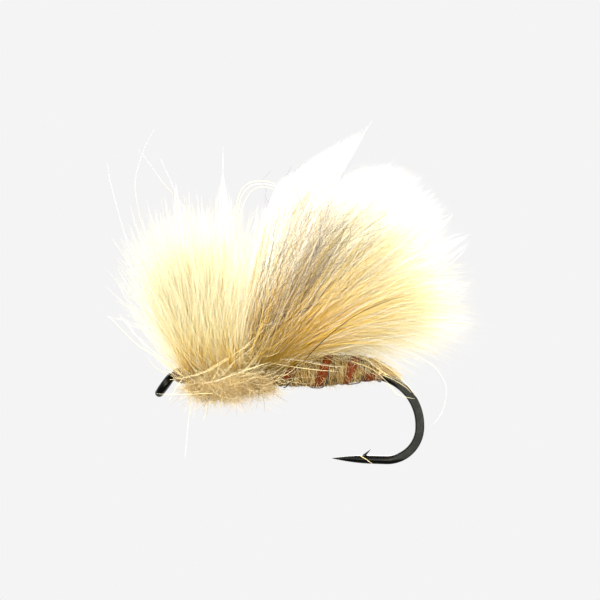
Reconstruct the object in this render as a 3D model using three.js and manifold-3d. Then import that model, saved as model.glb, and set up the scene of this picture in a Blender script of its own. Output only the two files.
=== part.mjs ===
// A dry fly for trout fishing: a forged, barbed, down-eyed hook dressed with a fur body,
// two ribs, two wound soft hackles, a fur wing under a pale overwing, and a thread head.
//
// Millimetres, +Z up. The origin is the centre of the hook's eye. The shank runs along +X,
// the hook lies in the XZ plane, and the point is below the shank.
import * as THREE from "three";
import { mergeVertices } from "three/addons/utils/BufferGeometryUtils.js";
import Module from "manifold-3d";

const wasm = await Module();
wasm.setup();

const { clamp, degToRad, lerp, mapLinear, smoothstep } = THREE.MathUtils;

// ---------------------------------------------------------------- driving dimensions

const WIRE = 0.6; // diameter of the hook wire
const EYE_RADIUS = 0.7; // centreline radius of the eye
const EYE_DROP = degToRad(54); // the ring turns down this far from the shank
const NECK_END = 1.05; // x where the neck of the eye has become the straight shank
const SHANK_Z = 0.68; // height of the shank's axis
const BEND_START = 14.32; // x where the shank begins to bend
const UPPER_BEND = 3.5; // radius of the bend's upper quarter
const BEND_SIDE = 0.13; // straight length at the back of the bend
const LOWER_BEND = 2.32; // radius of its lower quarter
const POINT = new THREE.Vector2(11.66, -5.15); // tip of the hook's point, as (x, z)
const FORGED_WIDTH = 0.64; // in the plane of the bend
const FORGED_THICKNESS = 0.42; // between the two flats
const FORGED_BLEND = 1.4; // length over which round wire becomes forged

const GAP = 0.02; // gap between one layer of the dressing and the next
const THREAD = 0.04; // thickness of a layer of tying thread
const BASE_RADIUS = WIRE / 2 + GAP + THREAD; // outside of the thread base
const LAYER_RADIUS = BASE_RADIUS + GAP; // where the next layer starts

// Each stretch of the dressing as [start, end] along the shank, from the eye to the tail.
const HEAD = [0.78, 1.62];
const COLLAR = [1.68, 4.9];
const FRONT_HACKLE_WRAPS = [4.52, 4.86];
const THORAX = [4.96, 7.9];
const WING_WRAPS = [5.02, 5.84];
const BODY_TIE_OFF = [7.52, 7.86];
const ABDOMEN = [7.95, 14.9];
const TAIL_WRAPS = [14.93, 15.21];

const QUILL = 0.2; // diameter of a hackle quill
const QUILL_PITCH = 0.44;
const FRONT_QUILL = { start: 2.36, turns: 4.5 };
const REAR_QUILL = { start: 5.98, turns: 3 };
const QUILL_TOP = LAYER_RADIUS + QUILL; // radius over a wound quill
const DUBBING_BORE = QUILL_TOP + 2 * GAP;

// The floss leaves the tail at a fraction of a turn and opens its pitch towards the head.
const FLOSS_WIDTH = 0.52;
const FLOSS_THICKNESS = 0.06;
const FLOSS_TURNS = [0.3, 3.35];
const FLOSS_TAIL_X = 14.14; // where it first crosses under the body
const FLOSS_PITCH = 1.32;
const FLOSS_PITCH_GROWTH = 0.25;

const RIB_WIRE = 0.08;
const RIB_WIRE_TURNS = [0, 2.4];
const RIB_WIRE_TAIL_X = 14.4;
const RIB_WIRE_PITCH = 2.56;

const FRONT_FOOT = [2.5, 4.3]; // fibres leave the quills and the wraps along these
const WING_FOOT = [5.12, 5.76];
const REAR_FOOT = [6.0, 7.4];
const FOOT_Z = SHANK_Z + DUBBING_BORE;
const FOOT_HALF_WIDTH = 0.3;
const NECK_Z = 2.15; // they are clear of the dubbing here and begin to fan out
const SLOT_GAP = 0.06; // between a plume's foot and the dubbing round it
const CHEEK_START = 3.6; // height where the overwing has parted from the fur wing

const ROUND_SIDES = 16; // of wires and thread layers
const BODY_SIDES = 20; // of the fur bodies

// ---------------------------------------------------------------- materials

const finish = (color, roughness, metalness = 0) =>
  new THREE.MeshStandardMaterial({ color, roughness, metalness });

const BLACK_WIRE = finish(0x17181a, 0.28, 0.8);
const BROWN_THREAD = finish(0x8a6a45, 0.6);
const TAN_FUR = finish(0xb89a68, 0.95);
const RUSSET_FLOSS = finish(0x7c3418, 0.55);
const DARK_RIB_WIRE = finish(0x4a5055, 0.35, 0.9);
const QUILL_HORN = finish(0xe2cf9f, 0.5);
const CREAM_HACKLE = finish(0xf3d98f, 0.8);
const PALE_FIBRE = finish(0xfbf5dc, 0.8);
const GREY_TAN_WING = finish(0xb9a37c, 0.9);
const CLEAR_VARNISH = finish(0xd9c9a5, 0.12);
const DARK_HAIR = finish(0x4a3018, 0.5);

// ---------------------------------------------------------------- the hook's axis

// The wire's axis from the eye to the point, drawn in the (x, z) plane.
function hookAxis() {
  const [eyeX, eyeZ] = [EYE_RADIUS * Math.cos(EYE_DROP), EYE_RADIUS * Math.sin(EYE_DROP)];
  const rear = BEND_START + UPPER_BEND;
  const level = SHANK_Z - UPPER_BEND;
  return new THREE.Path()
    .moveTo(eyeX, eyeZ)
    .quadraticCurveTo(eyeX + 0.15, SHANK_Z, NECK_END, SHANK_Z)
    .lineTo(BEND_START, SHANK_Z)
    .absarc(BEND_START, level, UPPER_BEND, Math.PI / 2, 0, true)
    .lineTo(rear, level - BEND_SIDE)
    .absarc(rear - LOWER_BEND, level - BEND_SIDE, LOWER_BEND, 0, -Math.PI / 2, true)
    .lineTo(POINT.x, POINT.y);
}

const axis = hookAxis();
const AXIS_LENGTH = axis.getLength();
const NECK_LENGTH = axis.curves[0].getLength();
const BEND_LENGTH = ((UPPER_BEND + LOWER_BEND) * Math.PI) / 2 + BEND_SIDE;

// Distance along the axis of the place at x on the shank. Past the shank's end, x counts on
// along the bend.
const alongShank = (x) => NECK_LENGTH + (x - NECK_END);

// A point beside the axis: at a distance along it, then off it in its plane and across it.
function beside(distance, inPlane, across) {
  const u = clamp(distance / AXIS_LENGTH, 0, 1);
  const at = axis.getPointAt(u);
  const heading = axis.getTangentAt(u);
  return new THREE.Vector3(
    at.x - heading.y * inPlane,
    across,
    at.y + heading.x * inPlane,
  );
}

// ---------------------------------------------------------------- mesh helpers

const steps = (from, to, count) =>
  Array.from({ length: count + 1 }, (_, i) => lerp(from, to, i / count));

const turnsOf = (sides) => steps(0, 2 * Math.PI, sides).slice(0, sides);

// A closed skin over rings of equally many points. It ends in two caps, or, as a loop, the
// last ring joins the first. Its faces are turned to point outwards.
function skin(rings, loop = false) {
  const sides = rings[0].length;
  const points = rings.flat();
  const faces = [];
  const bands = loop ? rings.length : rings.length - 1;
  for (let i = 0; i < bands; i++) {
    const near = i * sides;
    const far = ((i + 1) % rings.length) * sides;
    for (let j = 0; j < sides; j++) {
      const k = (j + 1) % sides;
      faces.push([near + j, near + k, far + k], [near + j, far + k, far + j]);
    }
  }
  if (!loop) {
    const last = (rings.length - 1) * sides;
    for (let j = 1; j < sides - 1; j++) {
      faces.push([0, j + 1, j], [last, last + j, last + j + 1]);
    }
  }
  const volume = faces.reduce(
    (sum, [a, b, c]) => sum + points[a].dot(points[b].clone().cross(points[c])),
    0,
  );
  if (volume < 0) faces.forEach((face) => face.reverse());
  return new THREE.BufferGeometry().setFromPoints(points).setIndex(faces.flat());
}

const steady = (value) => () => value;

// A sleeve round the wire, from bore(x) to radius(x). Its outside sits rise(x) off the axis.
function sleeve([from, to], bore, radius, { rise = steady(0), count = 1, sides = ROUND_SIDES } = {}) {
  const ring = (x, size, lift) =>
    turnsOf(sides).map((turn) =>
      beside(alongShank(x), lift + size * Math.cos(turn), size * Math.sin(turn)),
    );
  const stations = steps(from, to, count);
  const outside = stations.map((x) => ring(x, radius(x), rise(x)));
  const inside = stations.map((x) => ring(x, bore(x), 0)).reverse();
  return skin([...outside, ...inside], true);
}

// A band of thread wraps: its outside swells at each turn and dips between turns.
function wraps([from, to], radius, turns) {
  const swell = (x) => Math.sin((Math.PI * turns * (x - from)) / (to - from)) ** 2;
  const outside = (x) => radius(x) + THREAD * (swell(x) - 1);
  return sleeve([from, to], steady(LAYER_RADIUS), outside, { count: 2 * turns });
}

// A rod of the given section, a list of [along, out] offsets, wound round the axis from one
// turn to another, the hand of the winding being 1 or -1. It is at xAt(turn) on the shank,
// and lies on a surface whose radius and lift are given by surface(x).
function winding([from, to], hand, section, xAt, surface, perTurn) {
  const rings = steps(from, to, Math.round((to - from) * perTurn)).map((turn) =>
    section.map(([along, out]) => {
      const x = xAt(turn) + along;
      const { radius, lift } = surface(x);
      const angle = hand * 2 * Math.PI * turn;
      const off = radius + out;
      return beside(alongShank(x), lift + off * Math.cos(angle), off * Math.sin(angle));
    }),
  );
  return skin(rings);
}

const roundSection = (diameter, sides) =>
  turnsOf(sides).map((a) => [(diameter / 2) * Math.cos(a), (diameter / 2) * Math.sin(a)]);

// The geometry as a manifold-3d solid, and back.
function toSolid(geometry) {
  const bare = geometry.clone();
  bare.deleteAttribute("normal");
  bare.deleteAttribute("uv");
  const merged = mergeVertices(bare, 1e-4);
  return new wasm.Manifold(
    new wasm.Mesh({
      numProp: 3,
      vertProperties: merged.attributes.position.array,
      triVerts: new Uint32Array(merged.index.array),
    }),
  );
}

function toGeometry(solid) {
  const { vertProperties, triVerts } = solid.getMesh();
  return new THREE.BufferGeometry()
    .setAttribute("position", new THREE.BufferAttribute(vertProperties, 3))
    .setIndex(new THREE.BufferAttribute(triVerts, 1));
}

// A smooth profile through [x, value] pairs.
function profile(...pairs) {
  const curve = new THREE.SplineCurve(pairs.map(([x, value]) => new THREE.Vector2(x, value)));
  const points = curve.getPoints(60);
  return (x) => {
    const i = points.findIndex((p) => p.x >= x);
    if (i <= 0) return points.at(i).y;
    const [a, b] = [points[i - 1], points[i]];
    return mapLinear(x, a.x, b.x, a.y, b.y);
  };
}

// ---------------------------------------------------------------- hook

// How thick the spear is at a distance from its tip, against the wire.
const pointTaper = profile([0, 0.07], [0.28, 0.2], [0.7, 0.46], [1.12, 0.65], [1.6, 0.81], [2.6, 1]);
const POINT_TAPER = 2.6;

// One ring of points round the wire. Where the bend is forged, the wire is wider in its
// plane and has a flat on each side.
function wireRing(distance) {
  const bend = alongShank(BEND_START);
  const forged =
    smoothstep(distance, bend + FORGED_BLEND, bend + 2 * FORGED_BLEND) -
    smoothstep(distance - bend - BEND_LENGTH, -FORGED_BLEND / 2, FORGED_BLEND / 2);
  const left = AXIS_LENGTH - distance;
  const taper = left < POINT_TAPER ? pointTaper(left) : 1;
  const inPlane = (taper * lerp(WIRE, FORGED_WIDTH, forged)) / 2;
  const flat = (taper * lerp(WIRE, FORGED_THICKNESS, forged)) / 2;
  const across = (taper * WIRE) / 2;
  return turnsOf(ROUND_SIDES).map((turn) =>
    beside(distance, inPlane * Math.cos(turn), clamp(across * Math.sin(turn), -flat, flat)),
  );
}

// The barb: a sliver lifted from the top of the spear, leaning back towards the bend.
function barb() {
  const root = SHANK_Z - UPPER_BEND - BEND_SIDE - LOWER_BEND + WIRE / 2 - 0.2;
  const shape = new THREE.Shape()
    .moveTo(13.6, root)
    .lineTo(14.38, -4.52)
    .lineTo(14.0, root)
    .closePath();
  const depth = 0.16;
  return new THREE.ExtrudeGeometry(shape, { depth, bevelEnabled: false })
    .translate(0, 0, -depth / 2)
    .rotateX(Math.PI / 2);
}

function hook() {
  const bend = alongShank(BEND_START);
  const spear = bend + BEND_LENGTH;
  const stations = [
    ...steps(0, NECK_LENGTH, 5),
    ...steps(bend, spear, 28),
    ...steps(spear + FORGED_BLEND / 2, AXIS_LENGTH - POINT_TAPER, 1),
    ...steps(AXIS_LENGTH - 1.6, AXIS_LENGTH, 5),
  ];
  const ring = new THREE.TorusGeometry(EYE_RADIUS, WIRE / 2, 12, 32).rotateY(-EYE_DROP);
  return toGeometry(
    toSolid(skin(stations.map(wireRing)))
      .add(toSolid(ring))
      .add(toSolid(barb())),
  );
}

// ---------------------------------------------------------------- fur bodies and ribs

const abdomenRadius = profile(
  [ABDOMEN[0], 1.0],
  [9.6, 1.07],
  [11.3, 1.12],
  [12.6, 0.98],
  [13.5, 0.87],
  [ABDOMEN[1], 0.72],
);
const abdomenRise = profile([ABDOMEN[0], 0.27], [11.3, 0.36], [13.5, 0.45], [ABDOMEN[1], 0.32]);

const abdomen = () =>
  sleeve(ABDOMEN, steady(LAYER_RADIUS), abdomenRadius, {
    rise: abdomenRise,
    count: 18,
    sides: BODY_SIDES,
  });

// The surface that a rib lies on, clear of the fur by the given amount.
const overFur = (clear) => (x) => ({ radius: abdomenRadius(x) + clear, lift: abdomenRise(x) });

function flossRib() {
  const half = FLOSS_WIDTH / 2;
  const section = [
    [-half, 0],
    [half, 0],
    [half, FLOSS_THICKNESS],
    [-half, FLOSS_THICKNESS],
  ];
  const xAt = (turn) => {
    const past = turn - 0.5;
    return FLOSS_TAIL_X - FLOSS_PITCH * past - FLOSS_PITCH_GROWTH * past ** 2;
  };
  return winding(FLOSS_TURNS, -1, section, xAt, overFur(GAP), BODY_SIDES);
}

// The wire is wound the other way, so it crosses over the floss and locks it down.
function wireRib() {
  const xAt = (turn) => RIB_WIRE_TAIL_X - RIB_WIRE_PITCH * turn;
  const surface = overFur(GAP + FLOSS_THICKNESS + GAP + RIB_WIRE / 2);
  return winding(RIB_WIRE_TURNS, 1, roundSection(RIB_WIRE, 6), xAt, surface, 2 * BODY_SIDES);
}

// Dubbed fur over quills and wraps, parted above each foot where fibres come out.
function dubbing(span, radius, rise, feet) {
  const fur = sleeve(span, steady(DUBBING_BORE), radius, { rise, count: 9, sides: BODY_SIDES });
  const slots = feet.map(([start, end]) =>
    new THREE.BoxGeometry(end - start + 2 * SLOT_GAP, 2 * (FOOT_HALF_WIDTH + SLOT_GAP), 4)
      .translate((start + end) / 2, 0, SHANK_Z + 2),
  );
  return toGeometry(slots.reduce((solid, slot) => solid.subtract(toSolid(slot)), toSolid(fur)));
}

const collarRadius = profile([COLLAR[0], 0.88], [2.4, 1.22], [3.4, 1.42], [COLLAR[1], 1.4]);
const collarRise = profile([COLLAR[0], -0.08], [3.4, -0.1], [COLLAR[1], -0.08]);
const thoraxRadius = profile([THORAX[0], 1.36], [5.8, 1.2], [7.0, 1.08], [THORAX[1], 1.0]);
const thoraxRise = profile([THORAX[0], -0.06], [5.8, 0.1], [7.0, 0.2], [THORAX[1], 0.26]);

// ---------------------------------------------------------------- hackles, wing and overwing

function quill({ start, turns }) {
  const surface = steady({ radius: LAYER_RADIUS + QUILL / 2, lift: 0 });
  const xAt = (turn) => start + QUILL_PITCH * turn;
  return winding([0, turns], 1, roundSection(QUILL, 6), xAt, surface, ROUND_SIDES);
}

// A fan of fibres as one solid. It stands on a foot from one x to another, rises straight
// out of the dubbing, and then its edge runs through the outline's [x, z] points. Its two
// broad sides are flat: they part by twice the spread for each millimetre along the lean.
function plume([footStart, footEnd], outline, lean, spread) {
  const edge = outline.map(([x, z]) => new THREE.Vector2(x, z));
  const shape = new THREE.Shape()
    .moveTo(footEnd, NECK_Z)
    .lineTo(footStart, NECK_Z)
    .lineTo(edge[0].x, edge[0].y)
    .splineThru(edge.slice(1));
  const fan = new THREE.ExtrudeGeometry(shape, {
    depth: 1,
    bevelEnabled: false,
    curveSegments: 3,
  });
  const middle = (footStart + footEnd) / 2;
  const angle = degToRad(lean);
  const position = fan.attributes.position;
  for (let i = 0; i < position.count; i++) {
    const [x, z, depth] = [position.getX(i), position.getY(i), position.getZ(i)];
    const along = (x - middle) * Math.cos(angle) + (z - NECK_Z) * Math.sin(angle);
    position.setXYZ(i, x, (1 - 2 * depth) * (FOOT_HALF_WIDTH + spread * along), z);
  }
  const height = NECK_Z + 0.1 - FOOT_Z;
  const foot = new THREE.BoxGeometry(footEnd - footStart, 2 * FOOT_HALF_WIDTH, height);
  foot.translate(middle, 0, FOOT_Z + height / 2);
  return toGeometry(toSolid(fan).add(toSolid(foot)));
}

const frontHackleFibres = () =>
  plume(
    FRONT_FOOT,
    [
      [1.5, 2.3],
      [-2.5, 4.9],
      [-2.5, 8.0],
      [-1.0, 12.0],
      [2.2, 14.2],
      [5.6, 14.6],
      [6.6, 12.6],
      [5.3, 8.0],
      [4.6, 2.6],
    ],
    100,
    0.28,
  );

const rearHackleFibres = () =>
  plume(
    REAR_FOOT,
    [
      [7.6, 3.15],
      [12.1, 6.5],
      [16.7, 10.9],
      [19.9, 12.7],
      [21.7, 9.3],
      [22.2, 5.7],
      [21.6, 3.2],
      [16.4, 2.35],
      [12.0, 2.6],
      [8.5, 2.25],
    ],
    28,
    0.26,
  );

const wingFur = () =>
  plume(
    WING_FOOT,
    [
      [5.45, 2.9],
      [6.8, 7.5],
      [8.6, 12.8],
      [11.4, 14.4],
      [14.6, 11.7],
      [11.6, 7.1],
      [7.2, 3.3],
    ],
    60,
    0.1,
  );

// The long pale fibres lie over both cheeks of the fur wing and past its tips.
function overwing() {
  const whole = plume(
    WING_FOOT,
    [
      [5.3, 2.9],
      [5.9, 8.0],
      [7.4, 13.4],
      [12.6, 18.0],
      [17.6, 15.4],
      [16.6, 11.6],
      [11.9, 6.7],
      [7.3, 3.2],
    ],
    60,
    0.22,
  );
  const below = new THREE.BoxGeometry(30, 30, 20).translate(0, 0, CHEEK_START - 10);
  const hollow = toSolid(wingFur())
    .translate([-9, 0, -8])
    .scale([1.08, 1.2, 1.08])
    .translate([9, 0, 8]);
  return toGeometry(toSolid(whole).subtract(hollow).subtract(toSolid(below)));
}

// One dark guard hair that has worked out of the fur and lies along the rear hackle.
function darkGuardHair() {
  const curve = new THREE.CatmullRomCurve3([
    new THREE.Vector3(9.7, -2.0, 2.1),
    new THREE.Vector3(11.6, -2.9, 3.9),
    new THREE.Vector3(14.8, -3.9, 5.7),
    new THREE.Vector3(17.1, -4.5, 6.4),
  ]);
  const shape = new THREE.Shape().absarc(0, 0, 0.04, 0, 2 * Math.PI);
  return new THREE.ExtrudeGeometry(shape, {
    steps: 14,
    curveSegments: 6,
    bevelEnabled: false,
    extrudePath: curve,
  });
}

// ---------------------------------------------------------------- the assembly

const fly = new THREE.Group();

function piece(name, geometry, material) {
  const mesh = new THREE.Mesh(geometry, material);
  mesh.name = name;
  fly.add(mesh);
}

const threadBase = [HEAD[0], TAIL_WRAPS[1]];
const headRadius = profile([HEAD[0], 0.46], [1.1, 0.6], [HEAD[1], 0.64]);
const varnishRadius = (extra) => (x) => headRadius(x) + extra;

piece("hook", hook(), BLACK_WIRE);
piece(
  "thread_base",
  sleeve(threadBase, steady(WIRE / 2 + GAP), steady(BASE_RADIUS), { count: 20 }),
  BROWN_THREAD,
);
piece("tail_wraps", wraps(TAIL_WRAPS, steady(0.46), 3), BROWN_THREAD);
piece("abdomen_fur", abdomen(), TAN_FUR);
piece("floss_rib", flossRib(), RUSSET_FLOSS);
piece("wire_rib", wireRib(), DARK_RIB_WIRE);
piece("body_tie_off_wraps", wraps(BODY_TIE_OFF, steady(QUILL_TOP), 4), BROWN_THREAD);
piece("rear_hackle_quill", quill(REAR_QUILL), QUILL_HORN);
piece("rear_hackle_fibres", rearHackleFibres(), CREAM_HACKLE);
piece("wing_wraps", wraps(WING_WRAPS, steady(QUILL_TOP), 9), BROWN_THREAD);
piece("wing_fur", wingFur(), GREY_TAN_WING);
piece("overwing_fibres", overwing(), PALE_FIBRE);
piece("thorax_dubbing", dubbing(THORAX, thoraxRadius, thoraxRise, [WING_FOOT, REAR_FOOT]), TAN_FUR);
piece("front_hackle_wraps", wraps(FRONT_HACKLE_WRAPS, steady(QUILL_TOP), 3), BROWN_THREAD);
piece("front_hackle_quill", quill(FRONT_QUILL), QUILL_HORN);
piece("front_hackle_fibres", frontHackleFibres(), CREAM_HACKLE);
piece("collar_dubbing", dubbing(COLLAR, collarRadius, collarRise, [FRONT_FOOT]), TAN_FUR);
piece("dark_guard_hair", darkGuardHair(), DARK_HAIR);
piece("head_wraps", wraps(HEAD, headRadius, 7), BROWN_THREAD);
piece(
  "head_varnish",
  sleeve(HEAD, varnishRadius(GAP), varnishRadius(0.08), { count: 14 }),
  CLEAR_VARNISH,
);

export default fly;
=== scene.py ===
"""A dry fly on a forged, down-eyed hook, dressed with fur, hackle and two ribs.

Every length here is in millimetres until a piece is finished, and then it is brought to
metres, which is what the frame is in. The origin is the centre of the hook's eye, the shank
runs along +X, and the point is below the shank.
"""

import logging
import math
from collections.abc import Sequence
from dataclasses import dataclass, field, replace
from enum import Enum

import bpy
import numpy as np
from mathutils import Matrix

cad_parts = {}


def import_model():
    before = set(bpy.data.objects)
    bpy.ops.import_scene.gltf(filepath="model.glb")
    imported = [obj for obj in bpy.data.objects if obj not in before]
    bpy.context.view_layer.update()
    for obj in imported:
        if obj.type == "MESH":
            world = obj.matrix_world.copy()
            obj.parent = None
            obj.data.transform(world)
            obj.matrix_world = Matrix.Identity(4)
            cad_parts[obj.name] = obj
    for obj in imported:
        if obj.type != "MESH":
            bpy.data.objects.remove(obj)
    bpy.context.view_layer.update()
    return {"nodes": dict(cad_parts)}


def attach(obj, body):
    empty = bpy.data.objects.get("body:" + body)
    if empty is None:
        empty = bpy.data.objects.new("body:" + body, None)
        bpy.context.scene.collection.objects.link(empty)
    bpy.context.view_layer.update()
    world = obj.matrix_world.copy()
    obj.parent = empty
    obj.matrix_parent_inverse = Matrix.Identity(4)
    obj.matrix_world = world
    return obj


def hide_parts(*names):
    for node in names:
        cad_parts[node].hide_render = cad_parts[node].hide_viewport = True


log = logging.getLogger("dry_fly")

MM = 0.001
BODY = "root"
STRAND_UV = "OFBake"
SHANK_Z = 0.68
ALONG_SHANK = np.array([1.0, 0.0, 0.0])
QUARTER_TURN = math.pi / 2
STEEP = 0.8
TINY = 1e-12
SHORT_OF_END = 1e-9
WHITE = (1, 1, 1, 1)
BLACK = (0, 0, 0, 1)

Point = tuple[float, float, float]
Span = tuple[float, float]
Table = tuple[tuple[float, float], ...]
Stop = tuple[float, str]


def linear(hex_colour: str) -> tuple[float, float, float, float]:
    """Turns an sRGB colour into the linear one that shaders take, by the sRGB curve.

    Args:
        hex_colour: six hex digits, red first.

    Returns:
        Red, green, blue and a full alpha.
    """
    parts = [int(hex_colour[i : i + 2], 16) / 255 for i in (0, 2, 4)]
    red, green, blue = (
        p / 12.92 if p <= 0.04045 else ((p + 0.055) / 1.055) ** 2.4 for p in parts
    )
    return (red, green, blue, 1.0)


def along(table: Table, x: np.ndarray | float) -> np.ndarray | float:
    """Reads a table of (place, value) pairs at one or more places."""
    places, values = zip(*table)
    return np.interp(x, places, values)


def unit(vectors: np.ndarray, floor: float = 0.0) -> np.ndarray:
    """Brings vectors to a length of one.

    Args:
        vectors: the vectors, in the last axis.
        floor: what is added to each length, so that none is zero.

    Returns:
        The unit vectors.
    """
    return vectors / (np.linalg.norm(vectors, axis=-1, keepdims=True) + floor)


def column(values: np.ndarray) -> np.ndarray:
    """Stands one value for each hair beside the places along it."""
    return values[:, None]


# ---------------------------------------------------------------- shaders


class Shading:
    """A node tree under construction, in a material or in a group."""

    def __init__(self, tree: bpy.types.NodeTree) -> None:
        """Takes the tree to build in."""
        self.tree = tree

    @classmethod
    def material(cls, name: str) -> tuple["Shading", bpy.types.Material]:
        """Makes an empty material.

        Args:
            name: the material's name.

        Returns:
            The tree to build in, and the material.
        """
        made = bpy.data.materials.new(name)
        made.use_nodes = True
        made.node_tree.nodes.clear()
        return cls(made.node_tree), made

    def add(self, kind: str, **values: object) -> bpy.types.Node:
        """Adds a node.

        Args:
            kind: the node's type, such as ShaderNodeBump.
            values: settings of the node, and with a leading underscore, inputs by name,
                each a value or a socket to link from.

        Returns:
            The node.
        """
        node = self.tree.nodes.new(kind)
        for key, value in values.items():
            if not key.startswith("_"):
                setattr(node, key, value)
        for key, value in values.items():
            if key.startswith("_"):
                self.feed(node.inputs[key[1:].replace("_", " ")], value)
        return node

    def feed(self, socket: bpy.types.NodeSocket, value: object) -> None:
        """Links a socket from another, or sets its value.

        Args:
            socket: the socket to feed.
            value: a value, or the socket to link from.
        """
        if isinstance(value, bpy.types.NodeSocket):
            self.tree.links.new(value, socket)
        else:
            socket.default_value = value

    def ramp(self, source: bpy.types.NodeSocket, stops: Sequence[Stop]) -> bpy.types.NodeSocket:
        """Adds a colour ramp.

        Args:
            source: what the ramp reads.
            stops: (place, sRGB hex) pairs.

        Returns:
            The ramp's colour.
        """
        node = self.add("ShaderNodeValToRGB", _Fac=source)
        elements = node.color_ramp.elements
        while len(elements) < len(stops):
            elements.new(0.5)
        for element, (place, colour) in zip(elements, stops):
            element.position = place
            element.color = linear(colour)
        return node.outputs["Color"]

    def multiply(
        self, base: bpy.types.NodeSocket, over: bpy.types.NodeSocket, amount: float
    ) -> bpy.types.NodeSocket:
        """Multiplies one colour by another.

        Args:
            base: the colour below.
            over: the colour above.
            amount: how much of it.

        Returns:
            The mixed colour.
        """
        node = self.add("ShaderNodeMix", data_type="RGBA", blend_type="MULTIPLY")
        factor, below, above = (node.inputs[i] for i in (0, 6, 7))
        self.feed(factor, amount)
        self.feed(below, base)
        self.feed(above, over)
        return node.outputs[2]

    def close(self, shader: bpy.types.NodeSocket) -> None:
        """Ends the tree in a material output."""
        self.add("ShaderNodeOutputMaterial", _Surface=shader)


def new_group(
    name: str, inputs: dict[str, tuple[str, object]], outputs: Sequence[str]
) -> tuple[Shading, bpy.types.Node, bpy.types.Node, bpy.types.NodeTree]:
    """Makes an empty node group with named sockets.

    Args:
        name: the group's name.
        inputs: socket name to its type and default.
        outputs: the names of the values it puts out.

    Returns:
        The tree to build in, its input node, its output node, and the group itself.
    """
    group = bpy.data.node_groups.new(name, "ShaderNodeTree")
    for socket, (kind, default) in inputs.items():
        made = group.interface.new_socket(socket, in_out="INPUT", socket_type=kind)
        if default is not None:
            made.default_value = default
    for socket in outputs:
        group.interface.new_socket(socket, in_out="OUTPUT", socket_type="NodeSocketFloat")
    tree = Shading(group)
    return tree, tree.add("NodeGroupInput"), tree.add("NodeGroupOutput"), group


class Effects:
    """Shader groups that several finishes share."""

    streaks_across: float = 90.0

    def __init__(self) -> None:
        """Builds each group once."""
        self.mottle = self._mottle()
        self.strand = self._strand()

    def _mottle(self) -> bpy.types.NodeTree:
        """Builds cloudy variation over a surface, with fine grain in it.

        Returns:
            The group.
        """
        tree, given, out, group = new_group(
            "mottle",
            {
                "Vector": ("NodeSocketVector", None),
                "Cloud": ("NodeSocketFloat", 1000.0),
                "Grain": ("NodeSocketFloat", 9000.0),
            },
            ("Cloud", "Grain"),
        )
        for name in ("Cloud", "Grain"):
            noise = tree.add(
                "ShaderNodeTexNoise",
                _Vector=given.outputs["Vector"],
                _Scale=given.outputs[name],
                _Detail=4.0,
                _Roughness=0.6,
            )
            tree.feed(out.inputs[name], noise.outputs["Fac"])
        return group

    def _strand(self) -> bpy.types.NodeTree:
        """Builds the streaks of a strand: its own tone, and flecks along it.

        Returns:
            The group.
        """
        tree, given, out, group = new_group(
            "strand_streaks",
            {
                "Vector": ("NodeSocketVector", None),
                "Fleck Length": ("NodeSocketFloat", 9.0),
            },
            ("Tone", "Root To Tip", "Fleck"),
        )
        parts = tree.add("ShaderNodeSeparateXYZ", _Vector=given.outputs["Vector"])
        tree.feed(out.inputs["Tone"], parts.outputs["X"])
        tree.feed(out.inputs["Root To Tip"], parts.outputs["Y"])
        crossed = tree.add("ShaderNodeMath", operation="MULTIPLY")
        tree.feed(crossed.inputs[0], parts.outputs["X"])
        crossed.inputs[1].default_value = self.streaks_across
        stretched = tree.add("ShaderNodeMath", operation="MULTIPLY")
        tree.feed(stretched.inputs[0], parts.outputs["Y"])
        tree.feed(stretched.inputs[1], given.outputs["Fleck Length"])
        place = tree.add("ShaderNodeCombineXYZ", _X=crossed.outputs[0], _Y=stretched.outputs[0])
        noise = tree.add("ShaderNodeTexNoise", _Vector=place.outputs[0], _Scale=1.0, _Detail=2.0)
        tree.feed(out.inputs["Fleck"], noise.outputs["Fac"])
        return group


@dataclass(frozen=True)
class SurfaceFinish:
    """A finish of a solid surface, patterned on Object coordinates."""

    name: str
    slot: str
    colours: tuple[Stop, ...]
    roughness: Span
    cloud: float = 1200.0
    grain: float = 9000.0
    bump: float = 0.3
    depth: float = 0.00001
    metallic: float = 0.0
    coat: float = 0.0
    sheen: float = 0.0
    alpha: float = 1.0

    def material(self, effects: Effects) -> bpy.types.Material:
        """Builds the finish as a material.

        Args:
            effects: the shared shader groups.

        Returns:
            The material.
        """
        tree, made = Shading.material(self.name)
        where = tree.add("ShaderNodeTexCoord").outputs["Object"]
        mottle = tree.add("ShaderNodeGroup", node_tree=effects.mottle, _Vector=where)
        mottle.inputs["Cloud"].default_value = self.cloud
        mottle.inputs["Grain"].default_value = self.grain
        cloud, grain = mottle.outputs["Cloud"], mottle.outputs["Grain"]
        both = tree.add("ShaderNodeMix", _Factor=0.5, _A=cloud, _B=grain)
        rough = tree.add(
            "ShaderNodeMapRange",
            _Value=grain,
            _From_Min=0.3,
            _From_Max=0.7,
            _To_Min=self.roughness[0],
            _To_Max=self.roughness[1],
        )
        bump = tree.add("ShaderNodeBump", _Strength=self.bump, _Distance=self.depth, _Height=grain)
        shader = tree.add(
            "ShaderNodeBsdfPrincipled",
            _Base_Color=tree.ramp(both.outputs[0], self.colours),
            _Roughness=rough.outputs[0],
            _Metallic=self.metallic,
            _Coat_Weight=self.coat,
            _Sheen_Weight=self.sheen,
            _Alpha=self.alpha,
            _Normal=bump.outputs[0],
        )
        tree.close(shader.outputs[0])
        return made


FLECK_COLOURS = ((0.35, "8f8f8f"), (0.6, "ffffff"))


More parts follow.
